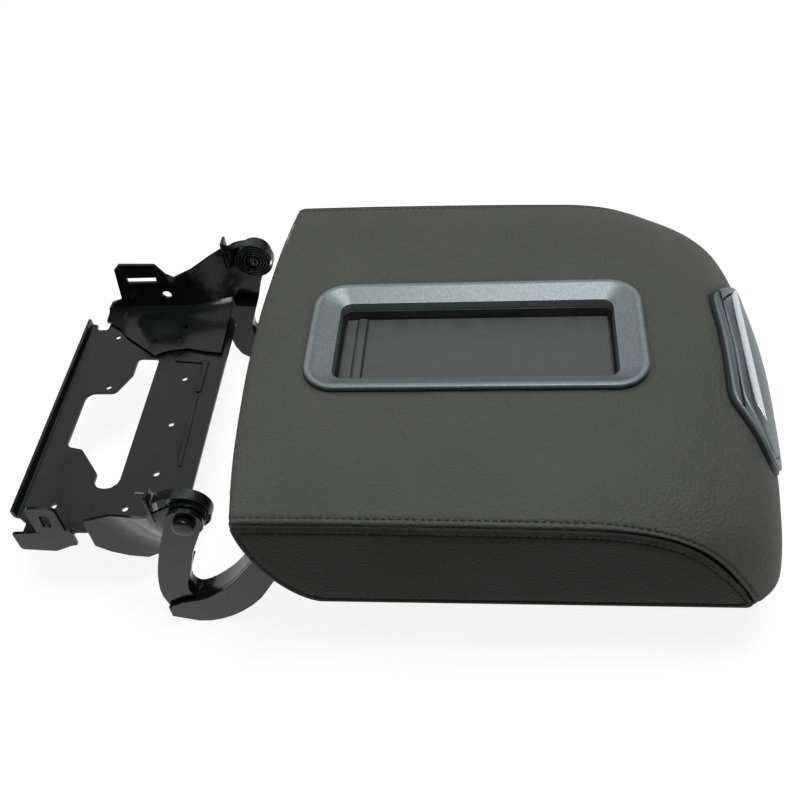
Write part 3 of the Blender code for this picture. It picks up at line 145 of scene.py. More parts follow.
coated_steel, shader = new_material("coated_steel", (0.0085, 0.0088, 0.0092), 0.24)
where = object_coordinates(coated_steel)
orange_peel = add_node(coated_steel, "ShaderNodeTexNoise", [("Vector", where)], Scale=420,
                       Detail=2)
patches = add_node(coated_steel, "ShaderNodeTexNoise", [("Vector", where)], Scale=38, Detail=4)
roughen(coated_steel, shader, orange_peel.outputs["Fac"], 0.22, 0.0003)
vary(coated_steel, shader, patches.outputs["Fac"], "Roughness", 0.13, 0.22)
tint(coated_steel, shader, patches.outputs["Fac"], (0.0065, 0.0068, 0.0072),
     (0.011, 0.0114, 0.0118))
shader.inputs["Specular IOR Level"].default_value = 0.3


def finish_piece(name, shape, material, body, replaces=(), rounding=0.0, crease=35,
                 wall=0.0):
    """Make an object of a shape, at its place, and hang it on its body.

    crease is the angle in degrees from which an edge is sharp. A wall thickens a sheet inwards,
    or to both sides if it is negative.
    """
    mesh = bpy.data.meshes.new(name)
    shape.to_mesh(mesh)
    shape.free()
    mesh.materials.append(material)
    mesh.shade_smooth()
    mesh.set_sharp_from_angle(angle=math.radians(crease))
    piece = bpy.data.objects.new(name, mesh)
    bpy.context.scene.collection.objects.link(piece)
    if wall:
        sheet = piece.modifiers.new("wall", "SOLIDIFY")
        sheet.thickness = abs(wall)
        sheet.offset = -1 if wall > 0 else 0
    if rounding:
        edge = piece.modifiers.new("edges", "BEVEL")
        edge.width = rounding
        edge.segments = 2
        edge.limit_method = "ANGLE"
        edge.angle_limit = math.radians(crease)
        edge.harden_normals = True
    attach(piece, body)
    if replaces:
        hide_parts(*replaces)
    return piece


MERGE_DISTANCE = 0.01 * MM
FLAT_ANGLE = math.radians(1.2)


def finish_node(name, node, material, body, rounding=0.0, crease=35):
    """Finish a merged copy of a CAD node's mesh, its flat faces made whole again."""
    shape = bmesh.new()
    shape.from_mesh(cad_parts[node].data)
    bmesh.ops.remove_doubles(shape, verts=shape.verts, dist=MERGE_DISTANCE)
    bmesh.ops.dissolve_limit(shape, angle_limit=FLAT_ANGLE, verts=shape.verts,
                             edges=shape.edges)
    finish_piece(name, shape, material, body, [node], rounding, crease)


SHEET_ROUNDING = 0.5 * MM
finish_node("bracket_plate", "hinge_bracket_plate", coated_steel, "bracket",
            SHEET_ROUNDING)


# Side brackets: drawn sheet-steel walls that flare out to the pivot ears, in the same black
# coat. Each is spot-welded to the plate by its foot, and anchors its clock spring on a fin.

for end in ("near", "far"):
    finish_node(end + "_side_wall", end + "_side_bracket", coated_steel, "bracket",
                SHEET_ROUNDING, 40)


# Gooseneck arms: stamped steel channels that carry the lid, each with a doubler plate welded
# to its outer side and two screws up into the lid's substrate.

ARM_ROUNDING = 0.6 * MM
SCREW_ROUNDING = 0.2 * MM
for end in ("near", "far"):
    finish_node(end + "_gooseneck", end + "_hinge_arm", coated_steel, "lid",
                ARM_ROUNDING)
    finish_node(end + "_doubler", end + "_arm_doubler", coated_steel, "lid",
                ARM_ROUNDING)
    for number in ("1", "2"):
        screw = "arm_screw_%s_%s" % (end, number)
        finish_node(screw + "_turned", screw, coated_steel, "lid",
                    SCREW_ROUNDING, 30)


# Pivot pins: turned steel, headed outside the arm and run through the ear into the spring.

TURNED_STEPS = 48


def turned(profile, centre, outward):
    """Spin a profile of (radius, height) round a line through centre along outward."""
    outward = Vector(outward)
    across = Vector((0, 0, 1)) if abs(outward.z) < 0.5 else Vector((1, 0, 0))
    shape = bmesh.new()
    line = [shape.verts.new(Vector(centre) + across * radius + outward * height)
            for radius, height in profile]
    edges = [shape.edges.new(pair) for pair in zip(line, line[1:])]
    bmesh.ops.spin(shape, geom=line + edges, cent=centre, axis=outward, angle=2 * math.pi,
                   steps=TURNED_STEPS, use_merge=True)
    bmesh.ops.remove_doubles(shape, verts=shape.verts, dist=MERGE_DISTANCE / 2)
    bmesh.ops.recalc_face_normals(shape, faces=shape.faces)
    return shape


PIN_R = 5 * MM
PIN_HEAD_R = 7.8 * MM
PIN_HEAD = 5 * MM
for end, side in (("near", -1), ("far", 1)):
    low, high = (Vector(corner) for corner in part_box(end + "_pivot_pin"))
    pin_axis = (low + high) / 2
    outer_y, inner_y = (high.y, low.y) if side > 0 else (low.y, high.y)
    tip = -abs(outer_y - inner_y)
    profile = [(0, 0), (5.6 * MM, 0), (6.9 * MM, -0.35 * MM), (7.6 * MM, -1.1 * MM),
               (PIN_HEAD_R, -2.2 * MM), (PIN_HEAD_R, -PIN_HEAD), (PIN_R, -PIN_HEAD),
               (PIN_R, tip + 1 * MM), (4.6 * MM, tip + 0.3 * MM), (3.8 * MM, tip),
               (2.2 * MM, tip + 0.2 * MM), (1.6 * MM, tip + 1.2 * MM), (0, tip + 1.4 * MM)]
    finish_piece(end + "_pivot_pin_turned",
                 turned(profile, (pin_axis.x, outer_y, pin_axis.z), (0, side, 0)),
                 coated_steel, "lid", [end + "_pivot_pin"], crease=50)


# Pivot washers: flat rings of black acetal between each arm and its ear.

washer_plastic, shader = new_material("washer_plastic", (0.02, 0.02, 0.021), 0.45)
where = object_coordinates(washer_plastic)
cloud = add_node(washer_plastic, "ShaderNodeTexNoise", [("Vector", where)], Scale=300, Detail=3)
roughen(washer_plastic, shader, cloud.outputs["Fac"], 0.2, 0.0002)
vary(washer_plastic, shader, cloud.outputs["Fac"], "Roughness", 0.38, 0.52)
for end in ("near", "far"):
    finish_node(end + "_washer", end + "_pivot_washer", washer_plastic, "bracket",
                0.3 * MM)


# Clock springs: flat steel strip wound into a spiral round the pin. The tail bears on the fin
# of the side wall and lifts the lid.

spring_steel, shader = new_material("spring_steel", (0.05, 0.051, 0.053), 0.3, 0.85)
where = object_coordinates(spring_steel)
oil = add_node(spring_steel, "ShaderNodeTexNoise", [("Vector", where)], Scale=160, Detail=4)
tint(spring_steel, shader, oil.outputs["Fac"], (0.022, 0.022, 0.024), (0.07, 0.072, 0.075))
vary(spring_steel, shader, oil.outputs["Fac"], "Roughness", 0.24, 0.42)
roughen(spring_steel, shader, oil.outputs["Fac"], 0.12, 0.0002)

SPRING_STRIP = 1.0 * MM
SPRING_TURNS = 4.5
SPRING_INNER = 6.3 * MM
SPRING_OUTER = 17 * MM
SPRING_TAIL_DROP = 5.5 * MM
STEPS_A_TURN = 40
for end in ("near", "far"):
    low, high = (Vector(corner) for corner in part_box(end + "_clock_spring"))
    pin_low, pin_high = (Vector(corner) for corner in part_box(end + "_pivot_pin"))
    pivot = (pin_low + pin_high) / 2
    line = []
    for step in range(round(SPRING_TURNS * STEPS_A_TURN) + 1):
        share = step / (SPRING_TURNS * STEPS_A_TURN)
        turn = math.pi / 2 - 2 * math.pi * SPRING_TURNS * (1 - share)
        radius = SPRING_INNER + (SPRING_OUTER - SPRING_INNER) * share
        line.append((pivot.x + radius * math.cos(turn), pivot.z + radius * math.sin(turn)))
    tail_x = low.x + SPRING_STRIP / 2
    for share in (0.25, 0.5, 0.75, 1.0):
        line.append((pivot.x + (tail_x - pivot.x) * share,
                     pivot.z + SPRING_OUTER - SPRING_STRIP * share
                     - SPRING_TAIL_DROP * share ** 3))
    shape = bmesh.new()
    first = [shape.verts.new((line[0][0], y, line[0][1])) for y in (low.y, high.y)]
    edge = shape.edges.new(first)
    for x, z in line[1:]:
        grown = bmesh.ops.extrude_edge_only(shape, edges=[edge])["geom"]
        edge = next(item for item in grown if isinstance(item, bmesh.types.BMEdge)
                    and all(vert in grown for vert in item.verts))
        for vert in edge.verts:
            vert.co.x, vert.co.z = x, z
    bmesh.ops.recalc_face_normals(shape, faces=shape.faces)
    finish_piece(end + "_spiral_spring", shape, spring_steel, "bracket",
                 [end + "_clock_spring"], 0.12 * MM, 40, wall=-0.8 * SPRING_STRIP)


# Lid substrate: an injection-moulded shell of black glass-filled nylon that carries the foam
# and has the bosses for all screws.

black_plastic, shader = new_material("black_plastic", (0.017, 0.0175, 0.018), 0.42)
where = object_coordinates(black_plastic)
spark = add_node(black_plastic, "ShaderNodeTexNoise", [("Vector", where)], Scale=1500, Detail=2)
flow = add_node(black_plastic, "ShaderNodeTexNoise", [("Vector", where)], Scale=45, Detail=3)
roughen(black_plastic, shader, spark.outputs["Fac"], 0.35, 0.00015)
vary(black_plastic, shader, flow.outputs["Fac"], "Roughness", 0.36, 0.5)
tint(black_plastic, shader, flow.outputs["Fac"], (0.014, 0.0144, 0.0148), (0.021, 0.0215, 0.022))
finish_node("substrate_shell", "lid_substrate", black_plastic, "lid")


# Underside liner: a ribbed black moulding, held by six screws. Four rubber bumpers press into
# it, and the closed lid rests on them.

finish_node("liner_moulding", "underside_liner", black_plastic, "lid",
            0.6 * MM)
rubber, shader = new_material("mat_rubber", (0.075, 0.077, 0.078), 0.62)
where = object_coordinates(rubber)
dust = add_node(rubber, "ShaderNodeTexNoise", [("Vector", where)], Scale=90, Detail=5)
skin = add_node(rubber, "ShaderNodeTexNoise", [("Vector", where)], Scale=2200, Detail=2)
tint(rubber, shader, dust.outputs["Fac"], (0.066, 0.068, 0.069), (0.086, 0.088, 0.089))
vary(rubber, shader, dust.outputs["Fac"], "Roughness", 0.5, 0.7)
roughen(rubber, shader, skin.outputs["Fac"], 0.3, 0.0001)
for end in ("near", "far"):
    for number in ("1", "2", "3"):
        screw = "liner_screw_%s_%s" % (end, number)
        finish_node(screw + "_turned", screw, coated_steel, "lid",
                    SCREW_ROUNDING, 30)
    for number in ("1", "2"):
        bumper = "bumper_%s_%s" % (end, number)
        finish_node(bumper + "_moulded", bumper, rubber, "lid", 0.4 * MM, 30)


# Catch hook: blanked from steel plate, on a pin in a folded bracket over the liner. The handle
# pulls it back to free the lid.

finish_node("catch_bracket", "hook_bracket", coated_steel, "lid", 0.4 * MM)
finish_node("catch_pin", "latch_hook_pin", coated_steel, "lid", 0.3 * MM, 40)
finish_node("catch_hook", "latch_hook", coated_steel, "hook", SHEET_ROUNDING)


# Leather top cover: one sewn piece of grained leather on thin foam, pulled over the pad from
# the rear hem to the front hem. It dips where the tray's rim and the latch press on it, and its
# long edges turn down into the seams.

def leather_material(name, dark, light, gloss):
    """Pebbled leather with fine pores, mottled between two colours."""
    material, shader = new_material(name, light, 0.5)
    where = object_coordinates(material)
    pebbles = add_node(material, "ShaderNodeTexVoronoi", [("Vector", where)], Scale=480,
                       feature="SMOOTH_F1", Smoothness=0.4)
    pores = add_node(material, "ShaderNodeTexNoise", [("Vector", where)], Scale=1500, Detail=3)
    hide = add_node(material, "ShaderNodeTexNoise", [("Vector", where)], Scale=14, Detail=5)
    grain = add_node(material, "ShaderNodeMath", [(0, pebbles.outputs["Distance"]),
                                                  (1, pores.outputs["Fac"])], operation="ADD")
    roughen(material, shader, grain.outputs["Value"], 0.85, 0.0009)
    tint(material, shader, hide.outputs["Fac"], dark, light)
    vary(material, shader, hide.outputs["Fac"], "Roughness", 0.46, 0.58)
    shader.inputs["Specular IOR Level"].default_value = gloss
    return material


leather = leather_material("leather", (0.082, 0.086, 0.0755), (0.097, 0.101, 0.0895), 0.3)

SEAM_LENGTH = 334 * MM
HALF_WIDTH = 162.5 * MM
CROWN = 6.8 * MM
FRONT_BOW = 30 * MM
REAR_RUN = 47 * MM
FRONT_START = SEAM_LENGTH - 109 * MM
SEAM_DROP = 4 * MM
HEM_ROUND = 4 * MM
HEM_WIDTH = 13 * MM
ARC_POWER = 1.65             # 2 is an ellipse; the rear arc is a little flatter
HEM_ROWS, ARC_ROWS, SHOULDER_ROWS, TOP_ROWS = 6, 57, 8, 130
FRONT_ROWS, FOOT_ROWS, UNDER_ROWS = 96, 4, 5


def front_handles(top_z, front_x, pull, fall):
    """The four handles of a front curve, from the flat top to the hem."""
    start, end = (FRONT_START, top_z), (front_x, -LID_DEPTH + HEM_ROUND)
    return np.array([start, np.add(start, pull), np.add(end, fall), end])


def bezier_at(t, handles):
    """Points of the curve through four handles, at the shares t of its run."""
    t = t[:, None]
    return ((1 - t) ** 3 * handles[0] + 3 * (1 - t) ** 2 * t * handles[1]
            + 3 * (1 - t) * t ** 2 * handles[2] + t ** 3 * handles[3])


def cover_section(rear_x, top_z, corner, drop, handles):
    """One lengthwise section of the cover, hem to hem, as rows of x and z."""
    front_x = handles[-1][0]
    arc_x, arc_z = REAR_RUN - rear_x, LID_DEPTH + top_z - corner
    turn = np.linspace(math.pi / 2, 0, ARC_ROWS)
    hem = np.column_stack([np.linspace(REAR_RUN + HEM_WIDTH, REAR_RUN, HEM_ROWS + 1)[:-1],
                           np.full(HEM_ROWS, -LID_DEPTH)])
    arc = np.column_stack([REAR_RUN - arc_x * np.cos(turn).clip(0) ** (2 / ARC_POWER),
                           top_z - corner - arc_z * np.sin(turn) ** (2 / ARC_POWER)])
    turn = np.linspace(0, math.pi / 2, SHOULDER_ROWS + 1)[1:]
    shoulder = np.column_stack([rear_x + corner * (1 - np.cos(turn)),
                                top_z - corner * (1 - np.sin(turn))])
    along = np.linspace(0, 1, TOP_ROWS + 1)[1:]
    top_start = rear_x + corner
    top = np.column_stack([top_start + (FRONT_START - top_start) * along,
                           top_z - drop * along ** 2])
    front = bezier_at(np.linspace(0, 1, FRONT_ROWS + 1)[1:], handles)
    turn = np.linspace(0, math.pi / 2, FOOT_ROWS + 1)[1:]
    foot = np.column_stack([front_x - HEM_ROUND * (1 - np.cos(turn)),
                            -LID_DEPTH + HEM_ROUND * (1 - np.sin(turn))])
    under = np.column_stack([np.linspace(front_x - HEM_ROUND, front_x - HEM_WIDTH,
                                         UNDER_ROWS + 1)[1:],
                             np.full(UNDER_ROWS, -LID_DEPTH)])
    return np.vstack([hem, arc, shoulder, top, front, foot, under])


seam_handles = front_handles(-SEAM_DROP, SEAM_LENGTH, (65 * MM, -4 * MM),
                             (-28 * MM, 50 * MM))
middle_handles = front_handles(CROWN, SEAM_LENGTH + FRONT_BOW, (105 * MM, 1.2 * MM),
                               (2 * MM, 76 * MM))
seam_section = cover_section(0, 0, 4 * MM, SEAM_DROP, seam_handles)
middle_section = cover_section(-REAR_BOW, CROWN, 10 * MM, 0, middle_handles)
rows = len(seam_section)
TOP_FADE_START = 0.3         # share of the top's length from which the bow fades faster
REAR_FADE_ROWS = 60
front_first = HEM_ROWS + ARC_ROWS + SHOULDER_ROWS + TOP_ROWS + 1
front_last = front_first + FRONT_ROWS
front_share = np.clip((seam_section[:, 0] / FRONT_START - TOP_FADE_START)
                      / (1 - TOP_FADE_START), 0, 1)
front_share[:REAR_FADE_ROWS] = 0
front_share[front_first:] = 1
REAR_FADE, FRONT_FADE_TOP, FRONT_FADE_FOOT = 2, 12, 16
BOW_FADE_ARC = 0.35
CROWN_FADE_TOP, CROWN_FADE_FRONT = 5.0, 1.6


def front_fade(u):
    """How sharply the front bow fades towards a seam, by place down the front curve."""
    ease = np.clip((u - 0.3) / 0.5, 0, 1)
    return FRONT_FADE_TOP + (FRONT_FADE_FOOT - FRONT_FADE_TOP) * ease ** 2 * (3 - 2 * ease)


def crown_fade(u):
    """How sharply the crown fades towards a seam: flat on top, domed down the front."""
    return CROWN_FADE_TOP - (CROWN_FADE_TOP - CROWN_FADE_FRONT) * np.clip(u / 0.35, 0, 1)


front_u = np.linspace(0, 1, FRONT_ROWS + 1)[1:]
crown = np.full(rows, CROWN_FADE_TOP)
crown[front_first:front_last] = crown_fade(front_u)
crown[front_last:] = crown_fade(1)
fade = REAR_FADE + (FRONT_FADE_TOP - REAR_FADE) * front_share ** 2 * (3 - 2 * front_share)
fade[front_first:front_last] = front_fade(front_u)
fade[front_last:] = FRONT_FADE_FOOT


def bow_left(share, power):
    """The part of a bow that is left at a share of the way out to a seam."""
    return 1 - BOW_FADE_ARC * share ** 2 - (1 - BOW_FADE_ARC) * share ** power


def lid_surface(y):
    """The plain surface at distances y from the centre line, one for each row."""
    share = np.abs(y) / HALF_WIDTH
    x = seam_section[:, 0] + (middle_section[:, 0] - seam_section[:, 0]) * bow_left(share, fade)
    z = seam_section[:, 1] + (middle_section[:, 1] - seam_section[:, 1]) * (1 - share ** crown)
    return np.column_stack([x, y * np.ones(rows), z])


SEAM_BAND = [0, 0.5, 1.0, 1.5, 2.0, 2.6, 3.3, 3.9, 4.5, 5.1, 5.7, 6.6, 8.2, 10.7]   # mm
MIDDLE_COLUMNS, ARM_COLUMNS = 46, 8
SMALLEST_COLUMN = 0.2 * MM
arm_y = [abs(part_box("near_hinge_arm")[1][1]) - 2 * MM,
         abs(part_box("near_arm_doubler")[0][1]) + 1.2 * MM]
half_across = sorted({round(v, 6) for v in
                      [HALF_WIDTH - band * MM for band in SEAM_BAND] + arm_y
                      + list(np.linspace(0, arm_y[0], MIDDLE_COLUMNS))
                      + list(np.linspace(*arm_y, ARM_COLUMNS)[1:-1])})
half_across = [v for i, v in enumerate(half_across)
               if i == 0 or v - half_across[i - 1] > SMALLEST_COLUMN or v in arm_y]
across = np.array([-v for v in half_across[:0:-1]] + half_across)
SEAM_ZONE = 44 * MM          # columns of this zone keep their distance along the leather
NEAR_SEAM = 11 * MM
fine = np.linspace(HALF_WIDTH, HALF_WIDTH - SEAM_ZONE, 221)
fine_surface = np.stack([lid_surface(y) for y in fine], axis=1)


def distance_along(points):
    """How far each point of a line is from its first, along the line."""
    return np.concatenate([[0], np.cumsum(np.linalg.norm(np.diff(points, axis=0), axis=1))])


gone_by = np.array([distance_along(line) for line in fine_surface])
column_y = np.tile(across, (rows, 1))
for column, y in enumerate(across):
    from_seam = HALF_WIDTH - abs(y)
    if from_seam < SEAM_ZONE:
        for row in range(rows):
            reach = from_seam
            if from_seam > NEAR_SEAM:
                reach = NEAR_SEAM + ((from_seam - NEAR_SEAM) / (SEAM_ZONE - NEAR_SEAM)
                                     * (gone_by[row, -1] - NEAR_SEAM))
            column_y[row, column] = math.copysign(np.interp(reach, gone_by[row], fine), y)
cover = np.stack([lid_surface(column_y[:, column]) for column in range(len(across))], axis=1)


def outward_normals(grid):
    """The direction off the surface at each point of a grid of points."""
    run = np.gradient(grid, axis=0)
    span = np.gradient(grid, axis=1)
    normal = np.cross(run, span)
    return normal / np.linalg.norm(normal, axis=2, keepdims=True).clip(1e-12)


def swell(distance, height, reach):
    """A soft ridge, or a groove if its height is negative, round where distance is 0."""
    return height * np.exp(-(distance / reach) ** 2)


# lift is how far the leather stands off its plain surface, in mm: down into the seam, up in a
# welt, down at each stitch, and up again inboard of the row
normals = outward_normals(cover)
run_length = distance_along(seam_section)
edge = (HALF_WIDTH - np.abs(across))[None, :] / MM
STITCH_PITCH = 5 * MM
WELT_INBOARD, STITCH_INBOARD, SWELL_INBOARD = 2.4, 4.5, 7      # mm
PRESSED_REACH = 7            # mm that the leather is drawn down round a hard rim
pucker = 0.5 + 0.5 * np.cos(2 * math.pi * run_length / STITCH_PITCH)[:, None]
lift = swell(edge, -2.6, 0.8) + swell(edge - WELT_INBOARD, 0.2, 0.9)
lift = lift - (0.5 + 0.45 * pucker) * swell(edge - STITCH_INBOARD, 1, 1.0)
lift = lift + swell(edge - SWELL_INBOARD, 0.25, 1.8)

# The dip round the tray's rim
rim_low, rim_high = (Vector(corner) - lid_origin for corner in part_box("tray_bezel"))
rim_middle, rim_half = (rim_low + rim_high) / 2, (rim_high - rim_low) / 2
RIM_CORNER = 24 * MM


def beyond_rim(x, y):
    """Distance outside the rim's outline, in plan."""
    reach_x = np.abs(x - rim_middle.x) - (rim_half.x - RIM_CORNER)
    reach_y = np.abs(y - rim_middle.y) - (rim_half.y - RIM_CORNER)
    return (np.hypot(reach_x.clip(0), reach_y.clip(0))
            + np.minimum(np.maximum(reach_x, reach_y), 0) - RIM_CORNER)


from_rim = beyond_rim(cover[:, :, 0], cover[:, :, 1])
TOP_FACE_DEPTH = 20 * MM
from_rim[cover[:, :, 2] < -TOP_FACE_DEPTH] = 1       # far away, in metres: not on the top
outside = from_rim.clip(0) / MM
lift = lift + swell(outside, -2.3, 2.6) + swell(outside, -0.7, PRESSED_REACH)

# The rear face is drawn in where it comes over the plate's lip when the lid stands open
LIP_MEETS_AT = Vector((-80 * MM, 0, 90 * MM))        # on the closed lid
lip_place = LIP_MEETS_AT - lid_origin
from_lip = np.hypot(cover[:, :, 0] - lip_place.x, cover[:, :, 2] - lip_place.z) / MM
lift = lift + swell(from_lip, -1.9, 9)

# The dip round the latch, whose outline lies on the front face
LATCH_TOP, LATCH_BOTTOM = 0.44, 0.87
LATCH_HALF = 86 * MM
LATCH_SHAPE = [(0, 0), (0.35, 0), (0.56, 0.012), (0.66, 0.07), (0.78, 0.21), (0.93, 0.42),
               (1.0, 0.56), (1.0, 0.70), (0.93, 0.86), (0.77, 0.955), (0.35, 0.99), (0, 1)]


def smooth_line(points, steps):
    """A smooth curve through points of the plane."""
    ends = [points[0]] + list(points) + [points[-1]]
    line = []
    for index in range(1, len(ends) - 2):
        before, start, end, after = (np.array(point) for point in ends[index - 1:index + 3])
        for step in range(steps):
            t = step / steps
            line.append(0.5 * (2 * start + (end - before) * t
                               + (2 * before - 5 * start + 4 * end - after) * t ** 2
                               + (3 * start - before - 3 * end + after) * t ** 3))
    return line + [np.array(points[-1])]


def face_point(u, y, proud):
    """A point over the front face: u down its curve, y across, proud along its normal."""
    def on_face(at):
        t = np.array([at])
        share = min(abs(y) / HALF_WIDTH, 1)
        seam = bezier_at(t, seam_handles)[0]
        middle = bezier_at(t, middle_handles)[0]
        return np.array([seam[0] + (middle[0] - seam[0]) * bow_left(share, front_fade(at)),
                         seam[1] + (middle[1] - seam[1]) * (1 - share ** crown_fade(at))])
    place = on_face(u)
    along = on_face(u + 0.01) - on_face(u - 0.01)
    along = along / np.linalg.norm(along)
    return np.array([place[0] - along[1] * proud, y, place[1] + along[0] * proud])


LATCH_LINE_STEPS = 6
half_line = smooth_line(LATCH_SHAPE, LATCH_LINE_STEPS)
latch_height = np.linalg.norm(face_point(LATCH_TOP, 0, 0) - face_point(LATCH_BOTTOM, 0, 0)) / 2
LATCH_MIDDLE = (LATCH_TOP + LATCH_BOTTOM) / 2


def latch_ring(inset, proud, gap_below=0.0):
    """The latch's outline on the front face, moved inward and lifted off it."""
    lowest = 1 - gap_below / (2 * latch_height)
    ring = []
    for side in (1, -1):
        for across_share, down in (half_line if side == 1 else half_line[-2:0:-1]):
            u = LATCH_TOP + (LATCH_BOTTOM - LATCH_TOP) * min(down, lowest)
            u = LATCH_MIDDLE + (u - LATCH_MIDDLE) * (1 - inset / latch_height)
            y = side * across_share * LATCH_HALF * (1 - inset / LATCH_HALF)
            ring.append(face_point(u, y, proud))
    return np.array(ring)


ring = latch_ring(0, 0)
FACE_START_X, FACE_TOP_Z = 240 * MM, -2 * MM
middle_line = cover[:, cover.shape[1] // 2]
face_rows = np.arange(rows)[(middle_line[:, 0] > FACE_START_X) & (middle_line[:, 2] < FACE_TOP_Z)
                            & (np.arange(rows) < rows - FOOT_ROWS - UNDER_ROWS)]
face = cover[face_rows]
to_ring = np.min(np.linalg.norm(face[:, :, None, :] - ring[None, None, :, :], axis=3), axis=2)
inside = np.zeros(face.shape[:2], bool)
for (y0, z0), (y1, z1) in zip(ring[:, 1:], np.roll(ring[:, 1:], -1, axis=0)):
    crosses = (face[:, :, 2] > z0) != (face[:, :, 2] > z1)
    at_y = y0 + (y1 - y0) * (face[:, :, 2] - z0) / (z1 - z0 + 1e-12)
    inside ^= crosses & (face[:, :, 1] < at_y)
from_latch = np.full(cover.shape[:2], 1.0)
from_latch[face_rows] = np.where(inside, -to_ring, to_ring)
outside = from_latch.clip(0) / MM
lift = lift + swell(outside, -2.0, 2.8) + swell(outside, -0.6, PRESSED_REACH)

# Slight unevenness of the pad under the leather
lift = lift + 0.12 * np.sin(cover[:, :, 0] * 61 + 1.3) * np.sin(cover[:, :, 1] * 47 + 0.4)
lift = lift + 0.08 * np.sin(cover[:, :, 0] * 143 + cover[:, :, 1] * 89)
dressed = cover + normals * (lift * MM)[:, :, None]

SLOT_TOP_Z, SLOT_FRONT_X = -36 * MM, 52 * MM
arm_rows = (cover[:, 0, 2] < SLOT_TOP_Z) & (cover[:, 0, 0] < SLOT_FRONT_X)


def grid_shape(points, first_column, last_column, hem, rim_margin, latch_margin):
    """A sheet through a grid of points, open at the tray, the latch and the arms.

    hem is how many rows it stops short of the cover's two hems.
    """
    columns = last_column - first_column + 1
    shape = bmesh.new()
    bmesh.ops.create_grid(shape, x_segments=rows - 1, y_segments=columns - 1, size=1)
    place_of = {}
    for vert in shape.verts:
        row = round((vert.co.x + 1) / 2 * (rows - 1))
        column = first_column + round((vert.co.y + 1) / 2 * (columns - 1))
        place_of[vert] = (row, column)
    gone = []
    for square in shape.faces:
        spots = [place_of[vert] for vert in square.verts]
        middle_y = abs(sum(across[column] for row, column in spots)) / 4
        in_slot = (arm_y[0] < middle_y < arm_y[1]
                   and all(arm_rows[row] for row, column in spots))
        past_hem = any(row < hem or row > rows - 1 - hem for row, column in spots)
        if (in_slot or past_hem or max(from_rim[spot] for spot in spots) < -rim_margin
                or max(from_latch[spot] for spot in spots) < -latch_margin):
            gone.append(square)
    for vert, spot in place_of.items():
        vert.co = Vector(points[spot]) + lid_origin
    bmesh.ops.delete(shape, geom=gone, context="FACES")
    bmesh.ops.recalc_face_normals(shape, faces=shape.faces)
    if max(shape.faces, key=lambda face: face.calc_center_median().z).normal.z < 0:
        bmesh.ops.reverse_faces(shape, faces=shape.faces)
    return shape


LEATHER_WALL = 3.2 * MM      # leather on its thin sewn-in foam
SOFT_CREASE = 80
cover_piece = finish_piece("top_leather",
                           grid_shape(dressed, 0, len(across) - 1, 0, 3.2 * MM, 2.6 * MM),
                           leather, "lid", ["leather_top_cover"],
                           crease=SOFT_CREASE, wall=LEATHER_WALL)


# Foam pad: moulded polyurethane over the substrate, under the leather.

pad_foam, shader = new_material("pad_foam", (0.55, 0.52, 0.42), 0.9)
where = object_coordinates(pad_foam)
cells = add_node(pad_foam, "ShaderNodeTexVoronoi", [("Vector", where)], Scale=900)
roughen(pad_foam, shader, cells.outputs["Distance"], 0.8, 0.0005)
tint(pad_foam, shader, cells.outputs["Distance"], (0.42, 0.39, 0.3), (0.6, 0.57, 0.47))
FOAM_HALF_WIDTH = 142 * MM
FOAM_DEPTH = 7 * MM
FOAM_WALL = 7 * MM
FOAM_HEM_ROWS = 20
inner = [column for column, y in enumerate(across) if abs(y) < FOAM_HALF_WIDTH]
foam = finish_piece("foam_cushion",
                    grid_shape(cover - normals * FOAM_DEPTH, inner[0], inner[-1],
                               FOAM_HEM_ROWS, 3 * MM, 0.6 * MM),
                    pad_foam, "lid", ["foam_pad"], crease=SOFT_CREASE,
                    wall=FOAM_WALL)


# Side panels: padded leather cheeks, sewn to the top cover right round from the rear hem over
# the top to the front hem. Each bulges out from its seam and is sewn down along a second row.

def lofted(rings, close=False, cap_first=False, cap_last=False):
    """Skin a row of rings of equal numbers of points, round each ring and from ring to ring."""
    shape = bmesh.new()
    made = bmesh.ops.create_circle(shape, cap_ends=False, segments=len(rings[0]), radius=1)
    loop = sorted(made["verts"], key=lambda vert: math.atan2(vert.co.y, vert.co.x))
    loops = [loop]
    for _ in rings[1:]:
        edges = [shape.edges.get((loop[i], loop[i - 1])) for i in range(len(loop))]
        grown = bmesh.ops.extrude_edge_only(shape, edges=edges)["geom"]
        fresh = {item for item in grown if isinstance(item, bmesh.types.BMVert)}
        loop = [next(edge.other_vert(vert) for edge in vert.link_edges
                     if edge.other_vert(vert) in fresh) for vert in loop]
        loops.append(loop)
    for loop, ring in zip(loops, rings):
        for vert, place in zip(loop, ring):
            vert.co = Vector(place) + lid_origin
    first, last = ([shape.edges.get((loop[i], loop[i - 1])) for i in range(len(loop))]
                   for loop in (loops[0], loops[-1]))
    if close:
        bmesh.ops.bridge_loops(shape, edges=first + last)
    if cap_first:
        bmesh.ops.contextual_create(shape, geom=first)
    if cap_last:
        bmesh.ops.contextual_create(shape, geom=last)
    bmesh.ops.recalc_face_normals(shape, faces=shape.faces)
    return shape


